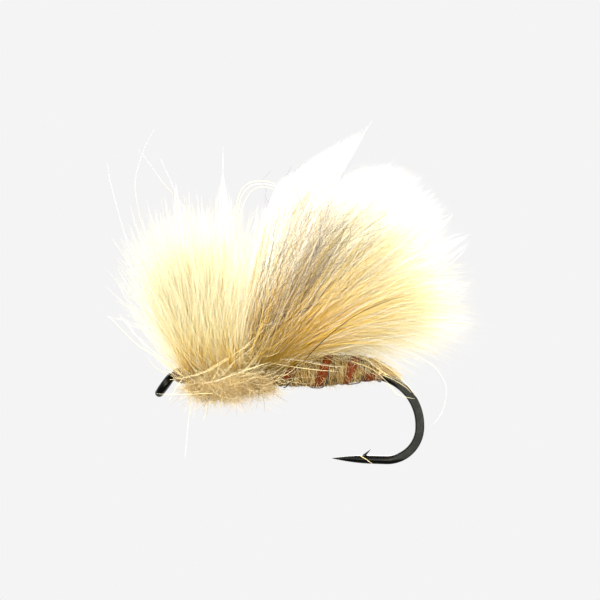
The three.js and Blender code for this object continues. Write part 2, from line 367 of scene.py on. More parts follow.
@dataclass(frozen=True)
class StrandFinish:
    """A finish of hairs and fibres, coloured from root to tip and from strand to strand."""

    name: str
    slot: str
    root_to_tip: tuple[Stop, ...]
    tones: tuple[Stop, ...]
    roughness: Span = (0.5, 0.7)
    bump: float = 0.15
    depth: float = 0.000004
    fleck: float = 0.25
    fleck_length: float = 9.0
    glow: float = 0.35
    gloss: float = 0.2

    def material(self, effects: Effects) -> bpy.types.Material:
        """Builds the finish as a material.

        Args:
            effects: the shared shader groups.

        Returns:
            The material.
        """
        tree, made = Shading.material(self.name)
        uv = tree.add("ShaderNodeUVMap", uv_map=STRAND_UV).outputs[0]
        streaks = tree.add("ShaderNodeGroup", node_tree=effects.strand, _Vector=uv)
        streaks.inputs["Fleck Length"].default_value = self.fleck_length
        fleck = streaks.outputs["Fleck"]
        colour = tree.multiply(
            tree.ramp(streaks.outputs["Root To Tip"], self.root_to_tip),
            tree.ramp(streaks.outputs["Tone"], self.tones),
            1.0,
        )
        colour = tree.multiply(colour, tree.ramp(fleck, FLECK_COLOURS), self.fleck)
        rough = tree.add(
            "ShaderNodeMapRange",
            _Value=fleck,
            _To_Min=self.roughness[0],
            _To_Max=self.roughness[1],
        )
        bump = tree.add("ShaderNodeBump", _Strength=self.bump, _Distance=self.depth, _Height=fleck)
        shader = tree.add(
            "ShaderNodeBsdfPrincipled",
            _Base_Color=colour,
            _Roughness=rough.outputs[0],
            _Specular_IOR_Level=self.gloss,
            _Normal=bump.outputs[0],
        )
        through = tree.add("ShaderNodeBsdfTranslucent", _Color=colour)
        mixed = tree.add("ShaderNodeMixShader", _Fac=self.glow)
        tree.feed(mixed.inputs[1], shader.outputs[0])
        tree.feed(mixed.inputs[2], through.outputs[0])
        tree.close(mixed.outputs[0])
        return made


HACKLE_TONES = ((0.0, "f0e6d2"), (0.3, "f8f2e8"), (0.6, "ffffff"), (1.0, "ffffff"))


class Finish(Enum):
    """Every finish on the fly."""

    WIRE = SurfaceFinish(
        "black_bronze_wire",
        "hook_wire",
        ((0.3, "0b0b0a"), (0.54, "121210"), (0.68, "22201a"), (0.74, "66522f")),
        (0.18, 0.36),
        cloud=1100.0,
        grain=14000.0,
        bump=0.12,
        depth=0.000004,
        metallic=1.0,
    )
    THREAD = SurfaceFinish(
        "waxed_brown_thread",
        "thread",
        ((0.3, "34220f"), (0.5, "50361c"), (0.72, "6e5232")),
        (0.45, 0.65),
        cloud=2500.0,
        grain=22000.0,
        sheen=0.2,
    )
    UNDERFUR = SurfaceFinish(
        "packed_tan_fur",
        "tan_fur",
        ((0.32, "9c8852"), (0.46, "d8c080"), (0.6, "ead69a"), (0.75, "f4e4b4")),
        (0.8, 0.95),
        cloud=3500.0,
        grain=16000.0,
        bump=0.8,
        depth=0.00004,
        sheen=0.3,
    )
    RIB_WIRE = SurfaceFinish(
        "blue_grey_wire",
        "rib_wire",
        ((0.3, "23282d"), (0.7, "474f56")),
        (0.25, 0.45),
        metallic=0.85,
    )
    QUILL = SurfaceFinish(
        "pale_quill",
        "quill",
        ((0.3, "cdb27a"), (0.7, "efe0b4")),
        (0.35, 0.5),
    )
    VARNISH = SurfaceFinish(
        "clear_head_cement",
        "varnish",
        ((0.3, "8a7450"), (0.7, "a89468")),
        (0.05, 0.12),
        coat=0.3,
        alpha=0.06,
    )
    FRONT_HACKLE = StrandFinish(
        "cream_front_hackle",
        # Golden and darker towards the root: partly the hackle's own colour, partly painted light
        # standing for the deeper, warmer colour that light takes among the dense fibres at the
        # fan's base.
        "cream_hackle",
        (
            (0.0, "d4bc70"),
            (0.1, "e8ce7e"),
            (0.2, "f2de8e"),
            (0.3, "faf1c8"),
            (0.48, "fbf7e0"),
            (0.72, "f4f0da"),
            (1.0, "e8e1ca"),
        ),
        HACKLE_TONES,
        fleck=0.12,
        glow=0.8,
        gloss=0.1,
    )
    REAR_HACKLE = StrandFinish(
        "cream_rear_hackle",
        # Golden and darker towards the root: partly the hackle's own colour, partly painted light
        # standing for the deeper, warmer colour that light takes among the dense fibres at the
        # fan's base.
        "cream_hackle",
        (
            (0.0, "c0a254"),
            (0.12, "ccb04e"),
            (0.28, "dcc058"),
            (0.42, "efd674"),
            (0.56, "f9e69a"),
            (0.76, "f7edbe"),
            (1.0, "efe8ca"),
        ),
        HACKLE_TONES,
        fleck=0.12,
        glow=0.8,
        gloss=0.1,
    )
    PALE = StrandFinish(
        "pale_overwing",
        "pale_fibre",
        ((0.0, "ead090"), (0.25, "f8eac0"), (0.45, "fffdf2"), (1.0, "ffffff")),
        ((0.0, "ceb460"), (0.18, "e2ca80"), (0.3, "fffaec"), (1.0, "ffffff")),
        fleck=0.1,
        glow=0.5,
    )
    STRAY = StrandFinish(
        "loose_cream_fibre",
        "cream_hackle",
        ((0.0, "ecdca0"), (0.3, "f4e6b4"), (0.7, "f4e8c0"), (1.0, "f4ead0")),
        ((0.0, "e0d0b0"), (0.5, "fbf4e2"), (1.0, "ffffff")),
        glow=0.3,
    )
    WING = StrandFinish(
        "kinky_wing_fur",
        "wing_fur",
        ((0.0, "fbe890"), (0.3, "f4dc8c"), (0.5, "ecdebe"), (0.7, "d8d2ce"), (1.0, "b2aaa8")),
        (
            (0.0, "54463e"),
            (0.2, "7e6e64"),
            (0.38, "c0b6b0"),
            (0.56, "ecd088"),
            (0.74, "f0e0bc"),
            (1.0, "fffaf0"),
        ),
        fleck=0.45,
        fleck_length=24.0,
        glow=0.25,
    )
    FUR = StrandFinish(
        "loose_tan_fur",
        "tan_fur",
        ((0.0, "f6e2a8"), (0.4, "fcecba"), (1.0, "fcf4d6")),
        ((0.0, "4a341c"), (0.07, "6b5030"), (0.14, "d0ba94"), (0.5, "f2e8d2"), (1.0, "ffffff")),
        fleck=0.3,
        glow=0.6,
    )
    YARN = StrandFinish(
        "spun_tan_yarn",
        "tan_fur",
        ((0.0, "b89c64"), (0.5, "c8ae78"), (1.0, "b89c64")),
        ((0.0, "40301c"), (0.14, "5c462a"), (0.28, "a08860"), (0.6, "d2c09c"), (1.0, "fffae6")),
        fleck=0.6,
        fleck_length=40.0,
        glow=0.15,
    )
    FLOSS = StrandFinish(
        "russet_floss",
        "floss",
        ((0.0, "622c0c"), (0.5, "70340e"), (1.0, "622c0c")),
        ((0.0, "b8a8a0"), (0.5, "e6ddd8"), (1.0, "ffffff")),
        roughness=(0.4, 0.55),
        fleck=0.3,
        fleck_length=30.0,
        glow=0.0,
        gloss=0.08,
    )
    DARK = StrandFinish(
        "dark_guard_hair",
        "dark_hair",
        ((0.0, "6b4a24"), (0.2, "3a2814"), (0.8, "4a3520"), (1.0, "a58a5a")),
        ((0.0, "e0e0e0"), (1.0, "ffffff")),
        glow=0.05,
    )


class Dresser:
    """Gives pieces their finish, and ties them to the frame."""

    def __init__(self) -> None:
        """Builds the shared effects, and each finish once."""
        effects = Effects()
        self.materials = {finish: finish.value.material(effects) for finish in Finish}

    def dress(self, piece: bpy.types.Object, finish: Finish, *nodes: str) -> None:
        """Finishes a new piece and puts it on the fly.

        Args:
            piece: the piece, in metres.
            finish: its finish.
            nodes: the plain solids that it stands for.
        """
        piece.data.materials.clear()
        piece.data.materials.append(self.materials[finish])
        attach(piece, BODY)
        if nodes:
            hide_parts(*nodes)
        log.info("%s: %d faces", piece.name, len(piece.data.polygons))

    def dress_node(self, node: bpy.types.Object, finish: Finish) -> None:
        """Gives a solid that stays as it is its finish.

        Args:
            node: the solid.
            finish: its finish.
        """
        node.data.materials.clear()
        node.data.materials.append(self.materials[finish])
        log.info("%s: kept as it is", node.name)


# ---------------------------------------------------------------- workbench


def clear_selection() -> None:
    """Deselects everything, because an operator works on all that is selected."""
    bpy.ops.object.select_all(action="DESELECT")


def finish_piece(piece: bpy.types.Object, name: str, smooth: float = 50.0) -> bpy.types.Object:
    """Names a modelled piece, brings it to metres and smooths it.

    Args:
        piece: the piece in millimetres, wherever its object stands.
        name: its name.
        smooth: faces that meet at less than this angle, in degrees, are shaded as one.

    Returns:
        The piece, with its object at the origin, unturned and unscaled.
    """
    clear_selection()
    piece.select_set(True)
    bpy.context.view_layer.objects.active = piece
    bpy.ops.object.transform_apply(location=True, rotation=True, scale=True)
    piece.scale = (MM, MM, MM)
    bpy.ops.object.transform_apply(location=False, rotation=False, scale=True)
    bpy.ops.object.shade_smooth_by_angle(angle=math.radians(smooth))
    piece.name = piece.data.name = name
    clear_selection()
    return piece


def use_modifier(piece: bpy.types.Object, kind: str, **settings: object) -> None:
    """Adds a modifier to the active piece and applies it.

    Args:
        piece: the piece to change.
        kind: the modifier's type.
        settings: its settings.
    """
    bpy.context.view_layer.objects.active = piece
    modifier = piece.modifiers.new(kind.lower(), kind)
    for key, value in settings.items():
        setattr(modifier, key, value)
    bpy.ops.object.modifier_apply(modifier=modifier.name)


def extrude_to(step: Point, centre: Point, size: float) -> None:
    """Extrudes what is selected by a step, then sizes it round its new centre.

    Args:
        step: how far to extrude, along X, Y and Z.
        centre: the centre after the step.
        size: how many times wider the new outline is than the last.
    """
    bpy.ops.mesh.extrude_region_move(TRANSFORM_OT_translate={"value": step})
    bpy.ops.transform.resize(value=(size, size, size), center_override=centre)


def turned_body(
    name: str, places: Sequence[float], radius: Table, rise: Table, sides: int = 40
) -> bpy.types.Object:
    """Models a round body on the shank from a disc, extruded from place to place.

    Args:
        name: the piece's name.
        places: the X of each place, in order.
        radius: the body's radius along X.
        rise: how far the body's centre is above the shank along X.
        sides: how many sides it has.

    Returns:
        The finished piece.
    """
    clear_selection()
    sizes = [float(along(radius, x)) for x in places]
    lifts = [SHANK_Z + float(along(rise, x)) for x in places]
    bpy.ops.mesh.primitive_circle_add(
        vertices=sides,
        radius=sizes[0],
        fill_type="NGON",
        location=(places[0], 0, lifts[0]),
        rotation=(0, QUARTER_TURN, 0),
    )
    piece = bpy.context.object
    bpy.ops.object.transform_apply(location=True, rotation=True, scale=True)
    bpy.ops.object.mode_set(mode="EDIT")
    for i in range(1, len(places)):
        step = (places[i] - places[i - 1], 0, lifts[i] - lifts[i - 1])
        extrude_to(step, (places[i], 0, lifts[i]), sizes[i] / sizes[i - 1])
    bpy.ops.mesh.select_all(action="SELECT")
    bpy.ops.mesh.normals_make_consistent(inside=False)
    bpy.ops.object.mode_set(mode="OBJECT")
    return finish_piece(piece, name)


# ---------------------------------------------------------------- strands


def perpendicular(directions: np.ndarray) -> tuple[np.ndarray, np.ndarray]:
    """Finds two directions square to each given one and to each other.

    Args:
        directions: unit vectors, in the last axis.

    Returns:
        The two sets of unit vectors.
    """
    level = np.abs(directions[..., 1:2]) < STEEP
    helper = np.where(level, [0.0, 1.0, 0.0], ALONG_SHANK)
    first = unit(np.cross(directions, helper))
    return first, np.cross(directions, first)


def heading(angle: np.ndarray, out: np.ndarray) -> np.ndarray:
    """Turns an angle in the hook's plane and one out of it, in degrees, into directions."""
    a, b = np.radians(angle), np.radians(out)
    return np.stack([np.cos(a) * np.cos(b), np.sin(b), np.sin(a) * np.cos(b)], axis=1)


def out_of(angle: np.ndarray) -> np.ndarray:
    """Finds the way out from the shank at each angle round it, from the top."""
    return np.stack([np.zeros(len(angle)), np.sin(angle), np.cos(angle)], axis=1)


def round_of(angle: np.ndarray) -> np.ndarray:
    """Finds the way round the shank at each angle round it, from the top."""
    return np.stack([np.zeros(len(angle)), np.cos(angle), -np.sin(angle)], axis=1)


def about_shank(
    x: np.ndarray, angle: np.ndarray, size: np.ndarray, height: np.ndarray | float
) -> np.ndarray:
    """Places points round the shank.

    Args:
        x: the place along the shank.
        angle: the angle round it, from the top towards the left-hand side.
        size: how far from the centre.
        height: the Z of the centre.

    Returns:
        The points.
    """
    return np.stack([x, size * np.sin(angle), height + size * np.cos(angle)], axis=-1)


@dataclass
class Strands:
    """Many fine hairs made as one mesh of closed tubes that taper to their tips."""

    paths: np.ndarray
    radii: np.ndarray
    tones: np.ndarray
    sides: int = 3
    blunt: float = 0.25
    toward: np.ndarray | None = None
    taper: float = 1.5
    tone_span: float = 0.98
    tone_edge: float = 0.004
    tone_width: float = 0.008

    def rings(self) -> np.ndarray:
        """Places a ring of points round each point of each path but its last.

        Returns:
            An array of strand, place, side and coordinate.
        """
        ahead = unit(np.gradient(self.paths, axis=1), TINY)
        if self.toward is None:
            chord = unit(self.paths[:, -1] - self.paths[:, 0], TINY)
            helper = perpendicular(chord)[0][:, None, :]
        else:
            helper = self.toward
        first = unit(np.cross(ahead, np.broadcast_to(helper, ahead.shape)), TINY)
        second = np.cross(ahead, first)[:, :-1]
        first, middle = first[:, :-1], self.paths[:, :-1]
        share = np.linspace(0, 1, self.paths.shape[1])[:-1]
        taper = 1 - (1 - self.blunt) * share**self.taper
        size = (column(self.radii) * taper[None, :])[..., None]
        turns = 2 * np.pi * np.arange(self.sides) / self.sides
        rings = [middle + size * (np.cos(a) * first + np.sin(a) * second) for a in turns]
        return np.stack(rings, axis=2)

    def faces(self, places: int) -> tuple[np.ndarray, np.ndarray]:
        """Lists the triangles of one strand.

        Args:
            places: how many rings the strand has.

        Returns:
            Each triangle's points, and each corner's (side, place) on the strand.
        """
        k = self.sides
        tip, last = places * k, places - 1
        corners, spots = [], []
        for i in range(last):
            for j in range(k):
                n = (j + 1) % k
                a, b, c, d = i * k + j, i * k + n, (i + 1) * k + n, (i + 1) * k + j
                near, beside, across, ahead = (j, i), (j + 1, i), (j + 1, i + 1), (j, i + 1)
                corners += [(a, b, c), (a, c, d)]
                spots += [(near, beside, across), (near, across, ahead)]
        for j in range(k):
            n = (j + 1) % k
            corners.append((last * k + j, last * k + n, tip))
            spots.append(((j, last), (j + 1, last), (j + 0.5, places)))
        for j in range(1, k - 1):
            corners.append((0, j + 1, j))
            spots.append(((0, 0), (j + 1, 0), (j, 0.2)))
        return np.array(corners), np.array(spots, float)

    def build(self, name: str) -> bpy.types.Object:
        """Builds the mesh, in metres.

        Args:
            name: the piece's name.

        Returns:
            The piece.
        """
        rings = self.rings()
        count, places, sides, _ = rings.shape
        points = np.concatenate([rings.reshape(count, -1, 3), self.paths[:, -1:]], axis=1)
        corners, spots = self.faces(places)
        base = (np.arange(count) * points.shape[1])[:, None, None]
        faces = (corners[None] + base).reshape(-1)
        across = self.tones[:, None, None] * self.tone_span + self.tone_edge
        across = across + spots[None, ..., 0] / sides * self.tone_width
        lengthwise = np.broadcast_to(spots[None, ..., 1] / places, across.shape)
        uvs = np.stack([across, lengthwise], axis=-1)

        mesh = bpy.data.meshes.new(name)
        mesh.vertices.add(points.shape[0] * points.shape[1])
        mesh.vertices.foreach_set("co", (points * MM).astype(np.float32).ravel())
        mesh.loops.add(faces.size)
        mesh.loops.foreach_set("vertex_index", faces.astype(np.int32))
        mesh.polygons.add(faces.size // 3)
        mesh.polygons.foreach_set("loop_start", np.arange(0, faces.size, 3, dtype=np.int32))
        mesh.polygons.foreach_set("use_smooth", np.ones(faces.size // 3, bool))
        layer = mesh.uv_layers.new(name=STRAND_UV)
        layer.data.foreach_set("uv", np.clip(uvs, 0.001, 0.999).astype(np.float32).ravel())
        mesh.update(calc_edges=True)
        piece = bpy.data.objects.new(name, mesh)
        bpy.context.scene.collection.objects.link(piece)
        return piece


def one_strand(path: np.ndarray, radius: float, sides: int) -> Strands:
    """Makes one strand of an even thickness, for a thread or a wire that is wound on.

    Args:
        path: the points along it.
        radius: its radius.
        sides: how many sides it has.

    Returns:
        The strand, ready to build.
    """
    tone = np.array([0.5])
    thick = np.array([radius])
    return Strands(path[None], thick, tone, sides=sides, blunt=1.0, toward=ALONG_SHANK)


@dataclass(frozen=True)
class Curl:
    """A wave along a hair: how wide it is, and how often it turns at least and at most."""

    size: float
    fewest: float
    most: float


CURL_DRIFT = 0.25
CURL_SHARE = (0.3, 1.0)


def grow(
    rng: np.random.Generator,
    roots: np.ndarray,
    starts: np.ndarray,
    ends: np.ndarray,
    lengths: np.ndarray,
    curls: Sequence[Curl],
    places: int,
) -> np.ndarray:
    """Grows hairs that leave their roots one way and arrive another way, with some curl.

    Args:
        rng: the source of chance.
        roots: where each hair starts.
        starts: which way it leaves.
        ends: which way its tip lies from its root.
        lengths: how long it is.
        curls: the waves along it.
        places: how many points each hair has.

    Returns:
        Points along each hair.
    """
    count = len(roots)
    t = np.linspace(0, 1, places)[None, :, None]
    reach = lengths[:, None, None]
    paths = roots[:, None] + reach * (starts[:, None] * t * (1 - t) + ends[:, None] * t**2)
    for aside in perpendicular(unit(ends)):
        for curl in curls:
            turns = rng.uniform(curl.fewest, curl.most, count)[:, None, None]
            phase = rng.uniform(0, 2 * np.pi, count)[:, None, None]
            drift = rng.uniform(-CURL_DRIFT, CURL_DRIFT, count)[:, None, None]
            size = rng.uniform(*CURL_SHARE, count)[:, None, None] * curl.size
            wave = np.sin(2 * np.pi * turns * (t + drift * t**2) + phase) - np.sin(phase)
            paths = paths + aside[:, None] * size * wave * t
    return paths


LOCK_SHARE = (0.3, 1.0)
LOCK_LATENESS = 1.5


def gather(rng: np.random.Generator, paths: np.ndarray, locks: int, hold: float) -> np.ndarray:
    """Draws hairs together into locks towards their tips.

    Args:
        rng: the source of chance.
        paths: the hairs.
        locks: how many locks to form.
        hold: how much of the way each tip is drawn to its lock.

    Returns:
        The gathered hairs.
    """
    leaders = rng.choice(len(paths), locks, replace=False)
    middle = paths.shape[1] * 2 // 3
    gaps = np.linalg.norm(paths[:, None, middle] - paths[None, leaders, middle], axis=2)
    leader = paths[leaders[np.argmin(gaps, axis=1)]]
    t = np.linspace(0, 1, paths.shape[1])[None, :, None]
    strength = hold * rng.uniform(*LOCK_SHARE, len(paths))[:, None, None]
    return paths + (leader - paths) * strength * t**LOCK_LATENESS


# ---------------------------------------------------------------- hook


@dataclass
class Hook:
    """The hook: eye, shank, forged bend, spear, barb and point."""

    wire: float = 0.3
    eye: float = 0.7
    eye_drop: float = math.radians(54)
    neck: tuple[Point, ...] = (
        (0.42, 0, 0.585),
        (0.6, 0, 0.635),
        (0.8, 0, 0.665),
        (1.05, 0, SHANK_Z),
    )
    bend_start: float = 14.32
    upper: float = 3.5
    side: float = 0.13
    lower: float = 2.32
    point: Point = (11.66, 0, -5.15)
    taper: Table = (
        (0.3, 1.0),
        (0.45, 0.95),
        (0.58, 0.82),
        (0.7, 0.66),
        (0.81, 0.46),
        (0.92, 0.21),
        (0.98, 0.08),
        (1.0, 0.02),
    )
    flatten: float = 0.7
    widen: float = 1.06
    forged: Table = ((8, 0), (38, 1), (150, 1), (188, 0))
    upper_steps: int = 36
    lower_steps: int = 30
    sides: int = 32
    eye_sides: tuple[int, int] = (64, 28)
    barb_sides: int = 20
    merge: float = 0.0005
    smooth: float = 40
    barb_root: Point = (13.82, 0, -5.06)
    barb_tip: Point = (14.38, 0, -4.52)
    barb_sizes: Span = (0.13, 0.006)
    barb_flatten: float = 0.55

    def wire_piece(self) -> bpy.types.Object:
        """Models the wire from a circle: extruded along the shank, spun round the bend.

        Returns:
            The wire, in millimetres.
        """
        clear_selection()
        bpy.ops.mesh.primitive_circle_add(
            vertices=self.sides,
            radius=self.wire,
            location=self.neck[0],
            rotation=(0, QUARTER_TURN, 0),
        )
        piece = bpy.context.object
        bpy.ops.object.transform_apply(location=True, rotation=True, scale=True)
        bpy.ops.object.mode_set(mode="EDIT")
        bpy.ops.mesh.select_all(action="SELECT")
        for before, after in zip(self.neck, self.neck[1:]):
            extrude_to(tuple(b - a for a, b in zip(before, after)), after, 1.0)
        shank = self.bend_start - self.neck[-1][0]
        extrude_to((shank, 0, 0), (self.bend_start, 0, SHANK_Z), 1.0)
        level = SHANK_Z - self.upper
        rear = self.bend_start + self.upper
        self.spin(self.upper_steps, self.bend_start, level)
        level -= self.side
        extrude_to((0, 0, -self.side), (rear, 0, level), 1.0)
        self.spin(self.lower_steps, rear - self.lower, level)
        start = (rear - self.lower, 0.0, level - self.lower)
        here, size = start, 1.0
        for share, next_size in self.taper:
            there = tuple(a + (b - a) * share for a, b in zip(start, self.point))
            extrude_to(tuple(b - a for a, b in zip(here, there)), there, next_size / size)
            here, size = there, next_size
        bpy.ops.mesh.edge_face_add()
        bpy.ops.mesh.select_all(action="SELECT")
        bpy.ops.mesh.remove_doubles(threshold=self.merge)
        bpy.ops.mesh.fill_holes(sides=2 * self.sides)
        bpy.ops.mesh.normals_make_consistent(inside=False)
        bpy.ops.object.mode_set(mode="OBJECT")
        self.forge(piece)
        return piece

    @staticmethod
    def spin(steps: int, x: float, z: float) -> None:
        """Spins what is selected a quarter turn, down and back towards the point.

        Args:
            steps: how many steps the turn has.
            x: the X of its centre.
            z: the Z of its centre.
        """
        bpy.ops.mesh.spin(steps=steps, angle=QUARTER_TURN, center=(x, 0, z), axis=(0, -1, 0))

    def forge(self, piece: bpy.types.Object) -> None:
        """Flattens the wire of the bend between two flats, and spreads it in its plane.

        Args:
            piece: the wire.
        """
        points = np.empty(len(piece.data.vertices) * 3)
        piece.data.vertices.foreach_get("co", points)
        points = points.reshape(-1, 3)
        level = SHANK_Z - self.upper
        rear = self.bend_start + self.upper
        upper = points[:, 2] > level - self.side / 2
        centre = np.where(
            upper[:, None], [self.bend_start, level], [rear - self.lower, level - self.side]
        )
        radius = np.where(upper, self.upper, self.lower)
        offset = points[:, [0, 2]] - centre
        reach = np.linalg.norm(offset, axis=1)
        angle = np.degrees(np.arctan2(offset[:, 0], offset[:, 1]))
        amount = along(self.forged, angle)
        amount *= points[:, 0] > self.bend_start
        new_reach = radius + (reach - radius) * (1 + (self.widen - 1) * amount)
        points[:, [0, 2]] = centre + offset * (new_reach / reach)[:, None]
        flat = self.wire * self.flatten
        pressed = np.clip(points[:, 1], -flat, flat)
        points[:, 1] += (pressed - points[:, 1]) * amount
        piece.data.vertices.foreach_set("co", points.ravel())

    def eye_piece(self) -> bpy.types.Object:
        """Models the eye's ring.

        Returns:
            The ring, in millimetres.
        """
        clear_selection()
        bpy.ops.mesh.primitive_torus_add(
            major_radius=self.eye,
            minor_radius=self.wire,
            major_segments=self.eye_sides[0],
            minor_segments=self.eye_sides[1],
            rotation=(0, -self.eye_drop, 0),
        )
        return bpy.context.object

    def barb_piece(self) -> bpy.types.Object:
        """Models the barb: a cone leant back along the spear and pressed thin.

        Returns:
            The barb, in millimetres.
        """
        clear_selection()
        root, tip = np.array(self.barb_root), np.array(self.barb_tip)
        lean = math.atan2(tip[0] - root[0], tip[2] - root[2])
        bpy.ops.mesh.primitive_cone_add(
            vertices=self.barb_sides,
            radius1=self.barb_sizes[0],
            radius2=self.barb_sizes[1],
            depth=float(np.linalg.norm(tip - root)),
            location=tuple((root + tip) / 2),
            rotation=(0, lean, 0),
        )
        piece = bpy.context.object
        bpy.ops.object.transform_apply(location=True, rotation=True, scale=True)
        bpy.ops.object.mode_set(mode="EDIT")
        bpy.ops.mesh.select_all(action="SELECT")
        bpy.ops.transform.resize(value=(1, self.barb_flatten, 1), center_override=(0, 0, 0))
        bpy.ops.object.mode_set(mode="OBJECT")
        return piece

    def build(self, dresser: Dresser) -> None:
        """Joins eye, wire and barb into one hook.

        Args:
            dresser: what finishes it.
        """
        wire = self.wire_piece()
        for part in (self.eye_piece(), self.barb_piece()):
            clear_selection()
            wire.select_set(True)
            use_modifier(wire, "BOOLEAN", operation="UNION", object=part, solver="EXACT")
            bpy.data.objects.remove(part)
        piece = finish_piece(wire, "hook_wire", self.smooth)
        dresser.dress(piece, Finish.WIRE, "hook")


# ---------------------------------------------------------------- body


@dataclass(frozen=True)
class Coat:
    """The loose hairs of one piece.

    Spin is how far a hair turns round the shank, drift how far it turns along it, and lift how
    far it stands off. Each is a pair of numbers that shapes its spread.
    """

    name: str
    finish: Finish
    count: int
    places: int
    thick: Span
    lengths: Span
    tones: Span
    curls: tuple[Curl, ...]
    deep: float = 0.0
    spin: Span = (0.0, 0.0)
    drift: Span = (0.0, 0.0)
    lift: Span = (0.0, 0.0)

    def grown(
        self,
        rng: np.random.Generator,
        roots: np.ndarray,
        starts: np.ndarray,
        ends: np.ndarray,
        lengths: np.ndarray,
    ) -> bpy.types.Object:
        """Grows the hairs and builds them as one piece.

        Args:
            rng: the source of chance.
            roots: where each hair starts.
            starts: which way it leaves.
            ends: which way its tip lies from its root.
            lengths: how long it is.

        Returns:
            The piece.
        """
        paths = grow(rng, roots, starts, ends, lengths, self.curls, self.places)
        radii = rng.uniform(*self.thick, self.count)
        return Strands(paths, radii, rng.beta(*self.tones, self.count)).build(self.name)


@dataclass
class FurBody:
    """A round body of fur on the shank, whose radius and rise change along it."""

    seed: int
    start: float
    end: float
    radius: Table
    rise: Table
    core_inset: float = 0.12
    rng: np.random.Generator = field(init=False)

    def __post_init__(self) -> None:
        """Seeds the source of chance."""
        self.rng = np.random.default_rng(self.seed)

    def surface(self, x: np.ndarray, angle: np.ndarray, out: np.ndarray | float) -> np.ndarray:
        """Places points on the body, or a little off it.

        Args:
            x: the place along the shank.
            angle: the angle round it, from the top towards the left-hand side.
            out: how far off the surface.

        Returns:
            The points.
        """
        size = along(self.radius, x) + out
        return about_shank(x, angle, size, along(self.rise, x) + SHANK_Z)


@dataclass(frozen=True)
class Filaments:
    """One kind of filament in the fur rope.

    Lengths are in turns round the body, lift is how far off the core the filaments lie, and skew
    is how far they stray along the shank.
    """

    name: str
    count: int
    thick: Span
    lengths: Span
    tones: Span
    lift: float
    skew: float


